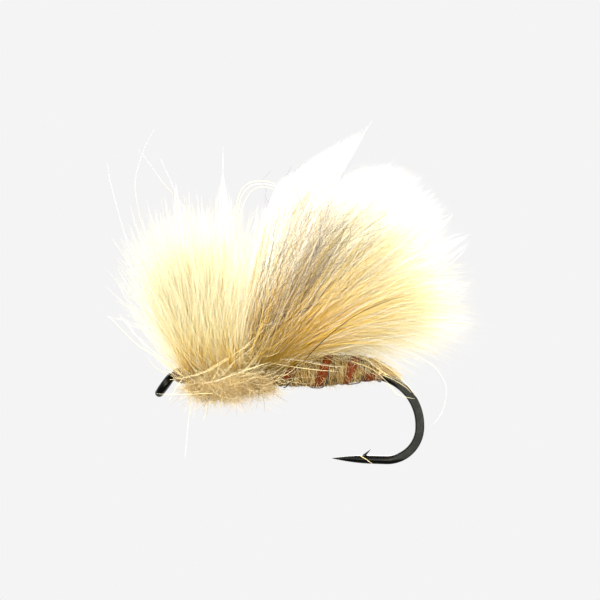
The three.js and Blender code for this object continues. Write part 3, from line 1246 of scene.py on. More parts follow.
@dataclass
class Abdomen(FurBody):
    """The spun fur body with its floss rib and its wire rib."""

    seed: int = 11
    start: float = 7.5
    end: float = 16.0
    radius: Table = (
        (7.5, 0.98),
        (7.95, 1.0),
        (9.6, 1.07),
        (11.3, 1.12),
        (12.6, 0.98),
        (13.5, 0.87),
        (14.4, 0.72),
        (14.9, 0.55),
        (15.3, 0.34),
        (15.7, 0.22),
        (16.0, 0.1),
    )
    rise: Table = (
        (7.5, 0.25),
        (7.95, 0.27),
        (11.3, 0.36),
        (13.5, 0.45),
        (14.4, 0.36),
        (14.9, 0.24),
        (15.3, 0.12),
        (15.7, -0.04),
        (16.0, -0.2),
    )
    core_ridge: float = 0.07
    core_ridge_shape: float = 0.7
    core_least: float = 0.05
    core_places: int = 5
    core_sides: int = 48
    rope_end: float = 14.9
    rope_turns: int = 19
    rope_half: float = 0.62
    rope_height: float = 0.1
    rope_blunt: float = 0.6
    scatter: float = 0.24
    waver: float = 0.03
    waver_turns: Span = (2, 6)
    unevenness: Span = (-0.03, 0.02)
    hump_least: float = 0.05
    hump_ends: float = 0.4
    filament_places: int = 22
    filaments: tuple[Filaments, ...] = (
        Filaments("abdomen_yarn", 900, (0.02, 0.036), (0.3, 0.9), (1.5, 1.2), 0.0, 0.1),
        Filaments("abdomen_dark_hairs", 760, (0.016, 0.028), (0.05, 0.16), (0.3, 6.0), 0.06, 0.2),
        Filaments("abdomen_pale_hairs", 330, (0.02, 0.032), (0.1, 0.4), (9.0, 0.6), 0.065, 0.24),
    )
    back: Coat = Coat(
        "abdomen_fuzz",
        Finish.FUR,
        2400,
        places=6,
        thick=(0.010, 0.019),
        lengths=(4.0, 0.12),
        tones=(1.3, 1.1),
        curls=(Curl(0.04, 0.5, 1.6),),
        deep=0.08,
        spin=(0.2, 1.4),
        drift=(0.25, 0.6),
        lift=(0.02, 0.45),
    )
    back_share: float = 0.45
    back_width: float = 0.6
    back_rise: float = 0.5
    back_spin_kept: float = 0.9
    tuft: Coat = Coat(
        "tail_tuft",
        Finish.FUR,
        620,
        places=7,
        thick=(0.011, 0.02),
        lengths=(0.35, 1.2),
        tones=(1.4, 1.1),
        curls=(Curl(0.06, 0.5, 1.6),),
        deep=0.06,
    )
    tuft_foot: Span = (14.1, 15.8)
    tuft_width: float = 0.8
    tuft_splay: float = 16
    tuft_splay_kept: float = 0.6
    tuft_starts: Span = (10, 14)
    tuft_ends: Span = (-24, 14)
    floss_count: int = 30
    floss_places: int = 110
    floss_turns: Span = (0.3, 3.35)
    floss_tail: float = 14.14
    floss_pitch: float = 1.32
    floss_growth: float = 0.25
    floss_width: float = 0.66
    floss_overlap: float = 0.85
    floss_wander: float = 0.012
    floss_wander_turns: Span = (9, 6.3)
    floss_waves: Span = (0.1, 0.06)
    floss_wave_turns: Span = (7.3, 17.1)
    floss_lift: float = 0.05
    floss_crown: float = 0.025
    floss_rough: float = 0.008
    floss_sides: int = 6
    floss_blunt: float = 0.9
    wire_places: int = 150
    wire_sides: int = 8
    wire_turns: Span = (0.0, 2.4)
    wire_tail: float = 14.4
    wire_pitch: float = 2.56
    wire_size: float = 0.08
    wire_hurry: float = 0.9
    wire_sink: float = 0.05
    wire_slack: float = 0.2

    @property
    def rope_pitch(self) -> float:
        """How far the rope moves along the shank in one turn."""
        return (self.rope_end - self.start) / self.rope_turns

    def core(self) -> bpy.types.Object:
        """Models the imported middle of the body, ridged by the rope's turns.

        Returns:
            The piece.
        """
        places = np.linspace(self.start, self.end, self.core_places * self.rope_turns + 1)
        swell = np.abs(np.sin(np.pi * (places - self.start) / self.rope_pitch))
        ridges = self.core_ridge * swell**self.core_ridge_shape
        size = along(self.radius, places) - self.core_inset + ridges
        size = np.maximum(size, self.core_least)
        outline = tuple(zip(places, size))
        return turned_body("abdomen_core", list(places), outline, self.rise, self.core_sides)

    def filament(self, kind: Filaments) -> bpy.types.Object:
        """Winds filaments of the fur rope round the core.

        Args:
            kind: the kind of filament.

        Returns:
            The piece.
        """
        rng, count, pitch = self.rng, kind.count, self.rope_pitch
        turn = rng.integers(0, self.rope_turns, count)
        spread = rng.normal(0, self.scatter, count) * pitch
        begin = column(rng.uniform(0, 1, count))
        share = np.linspace(0, 1, self.filament_places)[None]
        reach = column(rng.uniform(*kind.lengths, count))
        angle = -2 * np.pi * (begin + share * reach)
        middle = column(self.start + pitch * (turn + 0.5) + spread)
        stray = column(rng.normal(0, kind.skew, count)) * (share - 0.5)
        waver = column(rng.normal(0, self.waver, count))
        waver = waver * np.sin(angle * column(rng.uniform(*self.waver_turns, count)))
        x = middle + pitch * (share - 0.5) * reach + stray + waver
        x = np.clip(x, self.start, self.rope_end)
        hump = 1 - (spread / (self.rope_half * pitch)) ** 2
        hump = column(np.sqrt(np.clip(hump, self.hump_least, 1)))
        ends = np.sin(np.pi * share) ** self.hump_ends
        uneven = column(rng.uniform(*self.unevenness, count))
        off = -self.rope_height + self.rope_height * hump * ends + uneven + kind.lift * ends
        paths = self.surface(x, angle, off)
        radii = rng.uniform(*kind.thick, count)
        tones = rng.beta(*kind.tones, count)
        strands = Strands(paths, radii, tones, blunt=self.rope_blunt, toward=ALONG_SHANK)
        return strands.build(kind.name)

    def fuzz(self) -> bpy.types.Object:
        """Grows the short hairs that stand off the body, most of them on its back.

        Returns:
            The piece.
        """
        coat, rng, count = self.back, self.rng, self.back.count
        x = rng.uniform(self.start, self.rope_end, count)
        angle = np.where(
            rng.uniform(0, 1, count) < self.back_share,
            rng.normal(0, self.back_width, count),
            rng.uniform(0, 2 * np.pi, count),
        )
        outward, round_it = out_of(angle), round_of(angle)
        spin = -column(rng.uniform(*coat.spin, count))
        drift = ALONG_SHANK * column(rng.normal(*coat.drift, count))
        starts = unit(round_it * spin + outward * self.back_rise + drift)
        lift = column(rng.uniform(*coat.lift, count))
        ends = unit(round_it * spin * self.back_spin_kept + outward * lift + drift)
        lengths = rng.gamma(*coat.lengths, count)
        return coat.grown(rng, self.surface(x, angle, -coat.deep), starts, ends, lengths)

    def tail_tuft(self) -> bpy.types.Object:
        """Grows the tuft of fur that lies over the wire behind the body.

        Returns:
            The piece.
        """
        coat, rng, count = self.tuft, self.rng, self.tuft.count
        x = rng.uniform(*self.tuft_foot, count)
        angle = rng.normal(0, self.tuft_width, count)
        out = rng.normal(0, self.tuft_splay, count)
        starts = heading(rng.normal(*self.tuft_starts, count), out)
        ends = heading(rng.normal(*self.tuft_ends, count), out * self.tuft_splay_kept)
        lengths = rng.uniform(*coat.lengths, count)
        return coat.grown(rng, self.surface(x, angle, -coat.deep), starts, ends, lengths)

    def floss(self) -> bpy.types.Object:
        """Winds the flat floss, filament beside filament.

        Returns:
            The piece.
        """
        rng, count = self.rng, self.floss_count
        turn = np.linspace(*self.floss_turns, self.floss_places)[None]
        past = turn - 0.5
        centre = self.floss_tail - self.floss_pitch * past - self.floss_growth * past**2
        lane = column(np.linspace(-0.5, 0.5, count))
        often, apart = self.floss_wander_turns
        wander = self.floss_wander * np.sin(turn * often + column(rng.uniform(0, apart, count)))
        wide, fine = self.floss_waves
        wide_turns, fine_turns = self.floss_wave_turns
        ragged = 1 + wide * np.sin(turn * wide_turns + 1) + fine * np.sin(turn * fine_turns)
        x = centre + lane * self.floss_width * ragged + wander
        rough = column(rng.uniform(-self.floss_rough, self.floss_rough, count))
        lift = self.floss_lift + self.floss_crown * (1 - (2 * lane) ** 2) + rough
        paths = self.surface(x, -2 * np.pi * np.broadcast_to(turn, x.shape), lift)
        radii = np.full(count, self.floss_width / count * self.floss_overlap)
        tones = rng.uniform(0, 1, count)
        ends = {"sides": self.floss_sides, "blunt": self.floss_blunt}
        return Strands(paths, radii, tones, **ends, toward=ALONG_SHANK).build("floss_band")

    def wire(self) -> bpy.types.Object:
        """Winds the wire, sunk in the fur at the sides and slack under the belly.

        Returns:
            The piece.
        """
        turn = np.linspace(*self.wire_turns, self.wire_places)
        angle = 2 * np.pi * turn + self.wire_hurry * np.sin(2 * np.pi * turn)
        belly = np.clip(-np.cos(angle), 0, 1) ** 2
        x = self.wire_tail - self.wire_pitch * turn
        path = self.surface(x, -angle, -self.wire_sink + self.wire_slack * belly)
        return one_strand(path, self.wire_size / 2, self.wire_sides).build("wire_wind")

    def build(self, dresser: Dresser) -> None:
        """Builds and finishes the body.

        Args:
            dresser: what finishes it.
        """
        dresser.dress(self.core(), Finish.UNDERFUR, "abdomen_fur")
        for kind in self.filaments:
            dresser.dress(self.filament(kind), Finish.YARN)
        dresser.dress(self.fuzz(), self.back.finish)
        dresser.dress(self.tail_tuft(), self.tuft.finish)
        dresser.dress(self.floss(), Finish.FLOSS, "floss_rib")
        dresser.dress(self.wire(), Finish.RIB_WIRE, "wire_rib")


@dataclass(frozen=True)
class Stretch:
    """One stretch of dubbing: the solid it stands for, its ends and its fur."""

    core: str
    node: str
    start: float
    end: float
    fur_start: float
    fur_end: float
    fur: Coat


@dataclass
class Dubbing(FurBody):
    """Rough fur spun on over the quills and wraps, from the head to the body."""

    seed: int = 23
    start: float = 1.5
    end: float = 8.05
    radius: Table = (
        (1.5, 0.62),
        (1.8, 0.82),
        (2.4, 1.05),
        (3.4, 1.24),
        (4.9, 1.22),
        (5.8, 1.08),
        (7.0, 1.0),
        (8.05, 0.94),
    )
    rise: Table = (
        (1.5, 0.0),
        (1.8, -0.06),
        (3.4, -0.12),
        (4.9, -0.08),
        (5.8, 0.06),
        (7.0, 0.17),
        (8.05, 0.25),
    )
    split: float = 4.93
    core_places: int = 31
    core_lumps: Span = (0.05, 0.03)
    core_lump_turns: Span = (7.1, 15.7)
    collar_fur: Coat = Coat(
        "collar_fuzz",
        Finish.FUR,
        4000,
        places=9,
        thick=(0.008, 0.017),
        lengths=(5.0, 0.15),
        tones=(1.7, 0.8),
        curls=(Curl(0.12, 0.4, 1.2), Curl(0.04, 1.5, 3.5)),
        deep=0.1,
        spin=(0, 0.9),
        drift=(0.1, 0.8),
        lift=(0.1, 0.9),
    )
    thorax_fur: Coat = replace(collar_fur, name="thorax_fuzz", count=2800, tones=(1.1, 0.9))
    fur_margins: Span = (0.05, 0.4)
    bare: float = 0.75
    fur_rise: float = 0.9
    fur_spin_kept: float = 0.5
    fur_drift_kept: float = 0.6
    fur_swept: float = 7.0
    fringe: float = 0.45
    fibres: Coat = Coat(
        "loose_fibres",
        Finish.STRAY,
        460,
        places=14,
        thick=(0.010, 0.02),
        lengths=(1.4, 5.2),
        tones=(5.0, 1.0),
        curls=(Curl(0.3, 0.4, 1.0), Curl(0.05, 1.0, 2.5)),
    )
    fibres_before: float = 0.4
    fibres_side: Span = (0.5, 2.2)
    fibres_ahead: Table = ((1.8, 0.75), (8.2, 0.1))
    fibres_forward: Span = (122, 22)
    fibres_back: Span = (32, 20)
    fibres_most: float = 146
    fibres_scatter: float = 40
    fibres_splay: float = 20
    fibres_end_splay: Span = (2, 16)
    fibres_rise: Span = (0.5, 0.1)

    def stretches(self) -> tuple[Stretch, Stretch]:
        """Describes the collar and the thorax, which meet under the front hackle.

        Returns:
            The two stretches.
        """
        split, (before, after) = self.split, self.fur_margins
        fur_start, fur_end = self.start + before, self.end - after
        collar = ("collar_core", "collar_dubbing", self.start, split, fur_start, split)
        thorax = ("thorax_core", "thorax_dubbing", split, self.end, split, fur_end)
        return Stretch(*collar, self.collar_fur), Stretch(*thorax, self.thorax_fur)

    def core(self, stretch: Stretch) -> bpy.types.Object:
        """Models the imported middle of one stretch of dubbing.

        Args:
            stretch: the stretch.

        Returns:
            The piece.
        """
        places = np.linspace(stretch.start, stretch.end, self.core_places)
        (wide, fine), (wide_turns, fine_turns) = self.core_lumps, self.core_lump_turns
        lumps = wide * np.sin(places * wide_turns) + fine * np.sin(places * fine_turns)
        size = along(self.radius, places) - self.core_inset + lumps
        return turned_body(stretch.core, list(places), tuple(zip(places, size)), self.rise)

    def fuzz(self, stretch: Stretch) -> bpy.types.Object:
        """Grows the loose fur of one stretch, longest underneath.

        Args:
            stretch: the stretch.

        Returns:
            The piece.
        """
        coat, rng, count = stretch.fur, self.rng, stretch.fur.count
        x = rng.uniform(stretch.fur_start, stretch.fur_end, count)
        angle = rng.uniform(self.bare, 2 * np.pi - self.bare, count)
        outward, round_it = out_of(angle), round_of(angle)
        spin = column(rng.normal(*coat.spin, count))
        drift = rng.normal(*coat.drift, count) - np.clip(x - self.fur_swept, 0, None)
        lengthwise = ALONG_SHANK * column(drift)
        starts = outward * self.fur_rise + round_it * spin * self.fur_spin_kept
        starts = unit(starts + lengthwise * self.fur_drift_kept)
        ends = unit(outward * column(rng.uniform(*coat.lift, count)) + round_it * spin + lengthwise)
        under = 1 + self.fringe * np.clip(-np.cos(angle), 0, 1)
        lengths = rng.gamma(*coat.lengths, count) * under
        return coat.grown(rng, self.surface(x, angle, -coat.deep), starts, ends, lengths)

    def loose(self) -> bpy.types.Object:
        """Grows the long fibres that lie over the dubbing on both sides.

        Returns:
            The piece.
        """
        coat, rng, count = self.fibres, self.rng, self.fibres.count
        x = rng.uniform(self.start - self.fibres_before, self.end, count)
        side = np.where(np.arange(count) % 2 == 0, -1.0, 1.0)
        angle = side * rng.uniform(*self.fibres_side, count)
        outward = out_of(angle)
        way = np.where(
            rng.uniform(0, 1, count) < along(self.fibres_ahead, x),
            rng.normal(*self.fibres_forward, count),
            rng.normal(*self.fibres_back, count),
        )
        way = np.clip(way, 0, self.fibres_most)
        first_rise, last_rise = self.fibres_rise
        turned = way + rng.normal(0, self.fibres_scatter, count)
        starts = unit(heading(turned, side * self.fibres_splay) + outward * first_rise)
        splay = side * rng.uniform(*self.fibres_end_splay, count)
        ends = unit(heading(way, splay) + outward * last_rise)
        lengths = rng.uniform(*coat.lengths, count)
        return coat.grown(rng, self.surface(x, angle, 0.0), starts, ends, lengths)

    def build(self, dresser: Dresser) -> None:
        """Builds and finishes both stretches, and the fibres over them.

        Args:
            dresser: what finishes them.
        """
        stretches = self.stretches()
        for stretch in stretches:
            dresser.dress(self.core(stretch), Finish.UNDERFUR, stretch.node)
        for stretch in stretches:
            dresser.dress(self.fuzz(stretch), stretch.fur.finish)
        dresser.dress(self.loose(), self.fibres.finish)


# ---------------------------------------------------------------- hackle and wing


@dataclass(frozen=True)
class Lay:
    """One kind of fibre in a fan: how many, how thick and long, and how it curls."""

    name: str
    finish: Finish
    seed: int
    count: int
    places: int
    thick: Span
    lengths: Span
    curls: tuple[Curl, ...]
    spread: float
    reach: float = 1.0
    tones: Span = (2.0, 1.2)
    locks: int = 0
    hold: float = 0.0
    deep: float = 0.85
    flare: float = 0.0
    turn: float = 0.0
    lean: float = 0.0


@dataclass(frozen=True)
class Fan:
    """A fan of long fibres that leaves the top and sides of a stretch of the shank."""

    nodes: tuple[str, ...]
    foot: Span
    wrap: float
    bed: float
    angles: Table
    reach: Table
    start_turn: Table
    steer: float
    lays: tuple[Lay, ...]
    lean: float = 0.0
    most_wraps: float = 2.1
    most_spreads: float = 2.0
    low_side: float = 30
    near_side: float = 0.45
    side_splay: float = 0.07
    start_splay: float = 1.3
    start_rise: float = 0.5
    depth: Span = (0.85, 1.05)

    def fibres(self, lay: Lay) -> bpy.types.Object:
        """Grows one kind of fibre.

        Args:
            lay: the kind.

        Returns:
            The piece.
        """
        rng, count = np.random.default_rng(lay.seed), lay.count
        most = self.most_wraps * self.wrap
        side = np.clip(rng.normal(0, self.wrap, count), -most, most)
        low = np.clip(np.abs(side) - self.low_side, 0, None)
        angle = along(self.angles, rng.uniform(0, 1, count)) + self.steer * low
        angle = angle + lay.turn + rng.normal(0, lay.flare, count)
        most = self.most_spreads * lay.spread
        out = np.clip(rng.normal(0, lay.spread, count), -most, most)
        nearer = np.where(side < self.near_side * self.wrap, 1.0, -1.0)
        out = out + self.side_splay * side + (self.lean + lay.lean) * nearer
        x = rng.uniform(*self.foot, count)
        size = self.bed * lay.deep * rng.uniform(*self.depth, count)
        turn = np.radians(side)
        roots = about_shank(x, turn, size, SHANK_Z)
        starts = heading(angle + along(self.start_turn, angle), out * self.start_splay)
        starts = unit(starts + self.start_rise * out_of(turn))
        ends = heading(angle, out)
        share = rng.beta(*lay.lengths, count) * lay.reach
        lengths = along(self.reach, angle) * share / np.cos(np.radians(out) * 0.5)
        paths = grow(rng, roots, starts, ends, lengths, lay.curls, lay.places)
        if lay.locks:
            paths = gather(rng, paths, lay.locks, lay.hold)
        radii = rng.uniform(*lay.thick, count)
        return Strands(paths, radii, rng.beta(*lay.tones, count)).build(lay.name)

    def build(self, dresser: Dresser) -> None:
        """Grows and finishes each kind of fibre.

        Args:
            dresser: what finishes it.
        """
        for i, lay in enumerate(self.lays):
            dresser.dress(self.fibres(lay), lay.finish, *(self.nodes if i == 0 else ()))


SOFT_CURL = (Curl(0.16, 0.3, 0.9), Curl(0.03, 1.2, 2.5))
FINE_CURL = (Curl(0.2, 0.3, 1.2),)
OVERWING_CURL = (Curl(0.12, 0.5, 1.4),)
UNDERFUR_CURL = (Curl(0.9, 0.6, 1.8), Curl(0.2, 5, 9))
GUARD_CURL = (Curl(1.7, 0.6, 2.2), Curl(0.19, 9, 17), Curl(0.07, 14, 20))
STRAY_CURL = (Curl(1.5, 0.5, 1.8), Curl(0.2, 9, 17), Curl(0.07, 14, 20))

FRONT_HACKLE = Fan(
    nodes=("front_hackle_fibres",),
    foot=(1.7, 5.4),
    wrap=50.0,
    bed=1.22,
    angles=(
        (0.0, 152.0),
        (0.02, 142.0),
        (0.06, 132.0),
        (0.16, 123.0),
        (0.55, 106.0),
        (0.87, 92.0),
        (1.0, 76.0),
    ),
    reach=(
        (76, 12.8),
        (90, 12.4),
        (106, 12.5),
        (114, 11.9),
        (124, 10.9),
        (130, 9.9),
        (140, 8.2),
        (148, 7.4),
        (158, 6.0),
    ),
    start_turn=((76, 8.0), (90, 8.0), (104, 12.0), (118, 20.0), (134, 18.0), (158, -8.0)),
    steer=-0.12,
    lays=(
        Lay(
            "front_hackle",
            Finish.FRONT_HACKLE,
            seed=31,
            count=4600,
            places=8,
            thick=(0.011, 0.018),
            lengths=(2.8, 2.1),
            curls=SOFT_CURL,
            spread=8.0,
        ),
        Lay(
            "front_hackle_bold",
            Finish.FRONT_HACKLE,
            seed=32,
            count=420,
            places=11,
            thick=(0.016, 0.026),
            lengths=(3.6, 1.3),
            curls=SOFT_CURL,
            spread=10.0,
            tones=(6.0, 1.0),
            deep=1.0,
        ),
        Lay(
            "front_hackle_down",
            Finish.PALE,
            seed=33,
            count=500,
            places=6,
            thick=(0.006, 0.009),
            lengths=(3.4, 1.5),
            curls=FINE_CURL,
            spread=8.0,
            reach=0.95,
        ),
    ),
)

REAR_HACKLE = Fan(
    nodes=("rear_hackle_fibres",),
    foot=(5.7, 8.0),
    wrap=42.0,
    bed=1.12,
    angles=((0.0, -12.0), (0.03, -1.0), (0.12, 7.0), (0.5, 23.0), (0.85, 41.0), (1.0, 58.0)),
    reach=((-12, 10.5), (-1, 13.4), (6, 15.0), (30, 16.0), (45, 16.4), (58, 16.4)),
    start_turn=((-12, 34.0), (0, 26.0), (10, 16.0), (58, -4.0)),
    steer=0.3,
    lays=(
        Lay(
            "rear_hackle",
            Finish.REAR_HACKLE,
            seed=37,
            count=4700,
            places=8,
            thick=(0.01, 0.018),
            lengths=(3.4, 1.5),
            curls=SOFT_CURL,
            spread=6.5,
        ),
        Lay(
            "rear_hackle_bold",
            Finish.REAR_HACKLE,
            seed=38,
            count=520,
            places=11,
            thick=(0.016, 0.026),
            lengths=(4.2, 1.2),
            curls=SOFT_CURL,
            spread=8.0,
            tones=(6.0, 1.0),
            deep=1.0,
        ),
        Lay(
            "rear_hackle_down",
            Finish.PALE,
            seed=39,
            count=3000,
            places=6,
            thick=(0.006, 0.01),
            lengths=(5.0, 1.2),
            curls=FINE_CURL,
            spread=7.0,
        ),
    ),
)

WING = Fan(
    nodes=("wing_fur",),
    foot=(5.4, 7.2),
    wrap=34.0,
    bed=1.15,
    angles=((0.0, 36.0), (0.12, 43.0), (0.4, 50.0), (0.8, 57.5), (0.96, 62.0), (1.0, 66.0)),
    reach=((36, 10.8), (43, 12.2), (50, 13.2), (58, 14.2), (66, 14.4), (74, 13.6)),
    lean=-5.0,
    start_turn=((43, 0.0), (74, -8.0)),
    steer=0.0,
    lays=(
        Lay(
            "wing_underfur",
            Finish.WING,
            seed=41,
            count=1550,
            places=22,
            thick=(0.012, 0.02),
            lengths=(2.4, 2.6),
            curls=UNDERFUR_CURL,
            spread=5.0,
            tones=(2.2, 1.2),
            locks=60,
            hold=0.14,
            deep=1.0,
            flare=2.0,
        ),
        Lay(
            "wing_guard_hairs",
            Finish.WING,
            seed=42,
            count=360,
            places=56,
            thick=(0.017, 0.026),
            lengths=(2.8, 1.4),
            curls=GUARD_CURL,
            spread=5.0,
            reach=1.1,
            tones=(1.5, 0.9),
            deep=1.05,
            flare=4.5,
            lean=-4.0,
        ),
        Lay(
            "wing_stray_hairs",
            Finish.WING,
            seed=44,
            count=150,
            places=56,
            thick=(0.016, 0.024),
            lengths=(5.0, 1.1),
            curls=STRAY_CURL,
            spread=3.0,
            reach=1.06,
            tones=(0.8, 1.8),
            deep=1.05,
            flare=5.0,
            turn=6.0,
            lean=-9.0,
        ),
    ),
)

OVERWING = Fan(
    nodes=("overwing_fibres",),
    foot=(5.0, 6.8),
    wrap=20.0,
    bed=1.1,
    angles=((0.0, 38.0), (0.55, 54.0), (0.88, 66.0), (0.96, 73.0), (1.0, 84.0)),
    reach=(
        (36, 17.6),
        (44, 17.5),
        (50, 17.9),
        (56, 17.2),
        (60, 16.0),
        (62, 14.8),
        (66, 14.8),
        (71, 14.6),
        (75, 13.8),
        (80, 12.6),
        (84, 11.4),
    ),
    start_turn=((40, 4.0), (84, -4.0)),
    steer=0.0,
    lays=(
        Lay(
            "pale_overwing",
            Finish.PALE,
            seed=43,
            count=3600,
            places=9,
            thick=(0.012, 0.02),
            lengths=(7.0, 0.9),
            curls=OVERWING_CURL,
            spread=4.0,
            locks=160,
            hold=0.12,
        ),
    ),
)


@dataclass(frozen=True)
class Wisp:
    """A lock of fibres that ends in one point."""

    root: Point
    tip: Point
    bow: Point
    width: float
    count: int
    thick: float = 0.014


@dataclass
class Wisps:
    """The locks of pale fibre that stand out past the rest."""

    seed: int = 61
    places: int = 10
    vary: Span = (0.75, 1.2)
    tones: Span = (1.3, 0.8)
    sheet_count: int = 900
    sheet_thick: float = 0.015
    sheet_crowding: float = 0.8
    sheet_foot_x: Span = (6.6, 1.0)
    sheet_foot_width: float = 0.3
    sheet_foot_z: float = 2.0
    sheet_share: Span = (9.0, 0.8)
    sheet_bow: Point = (-0.55, 0.0, 0.25)
    sheet_aside: Point = (0.3, 0.45, 0.2)
    sheet_edge: tuple[Table, ...] = (
        ((0.0, 14.5), (0.2, 13.3), (0.5, 11.6), (0.8, 9.7), (1.0, 8.0)),
        ((0.0, 0.4), (1.0, 0.4)),
        ((0.0, 18.45), (0.2, 17.8), (0.5, 16.9), (0.8, 15.7), (1.0, 14.5)),
    )
    lock_share: Span = (7.0, 1.0)
    lock_aside: Point = (0.5, 0.4, 0.35)
    lock_foot: float = 0.5
    lock_rise: float = 0.5
    lock_close: int = 6
    locks: tuple[Wisp, ...] = (
        Wisp((4.4, -0.3, 1.9), (4.0, -0.6, 15.0), (-0.1, 0.0, 0.0), 0.62, 70),
        Wisp((4.2, 0.4, 1.9), (2.6, 0.8, 12.3), (-0.2, 0.0, 0.0), 0.8, 60),
        Wisp((3.2, -0.5, 1.9), (0.8, -1.0, 14.4), (-0.5, 0.0, -0.2), 0.5, 24),
        Wisp((7.6, -0.4, 2.0), (19.4, -0.8, 12.1), (0.3, 0.0, -0.6), 1.8, 70),
        Wisp((7.6, 0.5, 2.0), (20.4, 0.9, 12.1), (0.3, 0.0, 0.4), 1.8, 70),
        Wisp((7.8, -0.6, 2.0), (21.4, -1.4, 10.6), (0.2, 0.0, 0.3), 1.8, 70),
        Wisp((7.8, 0.6, 2.0), (21.7, 1.2, 7.2), (0.0, 0.0, 0.5), 1.7, 70),
        Wisp((8.0, -0.8, 1.9), (21.8, -1.6, 4.2), (0.0, 0.0, 0.8), 1.5, 60),
    )

    def sheet(self, rng: np.random.Generator) -> tuple[np.ndarray, np.ndarray]:
        """Grows the broad sheet of fibre that rises to one point behind the wing.

        Args:
            rng: the source of chance.

        Returns:
            Points along each fibre, and the fibres' radii.
        """
        count = self.sheet_count
        place = rng.uniform(0, 1, count) ** self.sheet_crowding
        tips = np.stack([along(axis, place) for axis in self.sheet_edge], axis=1)
        foot_y = rng.normal(0, self.sheet_foot_width, count)
        foot_z = np.full(count, self.sheet_foot_z)
        last_x, foot_length = self.sheet_foot_x
        roots = np.stack([last_x - foot_length * place, foot_y, foot_z], axis=1)
        share = rng.beta(*self.sheet_share, count)[:, None, None]
        t = np.linspace(0, 1, self.places)[None, :, None] * share
        bow = np.array(self.sheet_bow) * 4 * t * (1 - t)
        aside = rng.normal(0, 1, (count, 1, 3)) * np.array(self.sheet_aside)
        paths = roots[:, None] + (tips - roots)[:, None] * t + bow + aside * (1 - t**3) * t
        return paths, rng.uniform(*self.vary, count) * self.sheet_thick

    def lock(self, rng: np.random.Generator, wisp: Wisp) -> tuple[np.ndarray, np.ndarray]:
        """Grows one lock.

        Args:
            rng: the source of chance.
            wisp: the lock's line, width and count.

        Returns:
            Points along each fibre, and the fibres' radii.
        """
        root, tip, bow = (np.array(p)[None, None] for p in (wisp.root, wisp.tip, wisp.bow))
        aside = rng.normal(0, 1, (wisp.count, 1, 3)) * np.array(self.lock_aside) * wisp.width
        starts = root + aside * self.lock_foot
        share = rng.beta(*self.lock_share, wisp.count)[:, None, None]
        t = np.linspace(0, 1, self.places)[None, :, None] * share
        line = starts + (tip - starts) * t + bow * (4 * t * (1 - t))
        paths = line + aside * (1 - t**self.lock_close) * t**self.lock_rise
        return paths, rng.uniform(*self.vary, wisp.count) * wisp.thick

    def build(self, dresser: Dresser) -> None:
        """Grows and finishes the locks.

        Args:
            dresser: what finishes them.
        """
        rng = np.random.default_rng(self.seed)
        grown = [self.sheet(rng)] + [self.lock(rng, wisp) for wisp in self.locks]
        paths, radii = (np.concatenate(part) for part in zip(*grown))
        piece = Strands(paths, radii, rng.beta(*self.tones, len(paths))).build("pale_wisps")
        dresser.dress(piece, Finish.PALE)


@dataclass(frozen=True)
class Hairs:
    """Hairs of one finish that each follow a line of their own."""

    name: str
    finish: Finish
    thick: float
    lines: tuple[tuple[Point, ...], ...]
    places: int
    nodes: tuple[str, ...] = ()
    seed: int = 53
    vary: Span = (0.8, 1.2)
    tones: Span = (0.5, 1)
    sides: int = 5
    blunt: float = 0.35

    @staticmethod
    def smooth(points: tuple[Point, ...], places: int) -> np.ndarray:
        """Draws one smooth line through points.

        Args:
            points: the points.
            places: how many points the line has.

        Returns:
            The line, as an array of one strand.
        """
        given = np.array(points, float)
        before, after = 2 * given[0] - given[1], 2 * given[-1] - given[-2]
        ends = np.concatenate([[before], given, [after]])
        made = []
        for s in np.linspace(0, len(given) - 1 - SHORT_OF_END, places):
            i, t = int(s), s - int(s)
            a, b, c, d = ends[i : i + 4]
            cubic = (3 * b - a - 3 * c + d) * t**3 + (2 * a - 5 * b + 4 * c - d) * t**2
            made.append(0.5 * (2 * b + (c - a) * t + cubic))
        return np.array(made)[None]

    def build(self, dresser: Dresser) -> None:
        """Builds and finishes the hairs.

        Args:
            dresser: what finishes them.
        """
        rng = np.random.default_rng(self.seed)
        paths = np.concatenate([self.smooth(line, self.places) for line in self.lines])
        radii = rng.uniform(*self.vary, len(paths)) * self.thick
        tones = rng.uniform(*self.tones, len(paths))
        strands = Strands(paths, radii, tones, sides=self.sides, blunt=self.blunt)
        dresser.dress(strands.build(self.name), self.finish, *self.nodes)


GUARD_HAIR = Hairs(
    name="guard_hair",
    finish=Finish.DARK,
    thick=0.045,
    places=30,
    nodes=("dark_guard_hair",),
    lines=(
        (
            (9.7, -2.9, 1.7),
            (10.3, -3.5, 2.46),
            (11.8, -4.5, 3.9),
            (13.3, -5.1, 4.98),
            (15.0, -5.6, 5.76),
            (17.2, -5.9, 6.42),
        ),
    ),
)

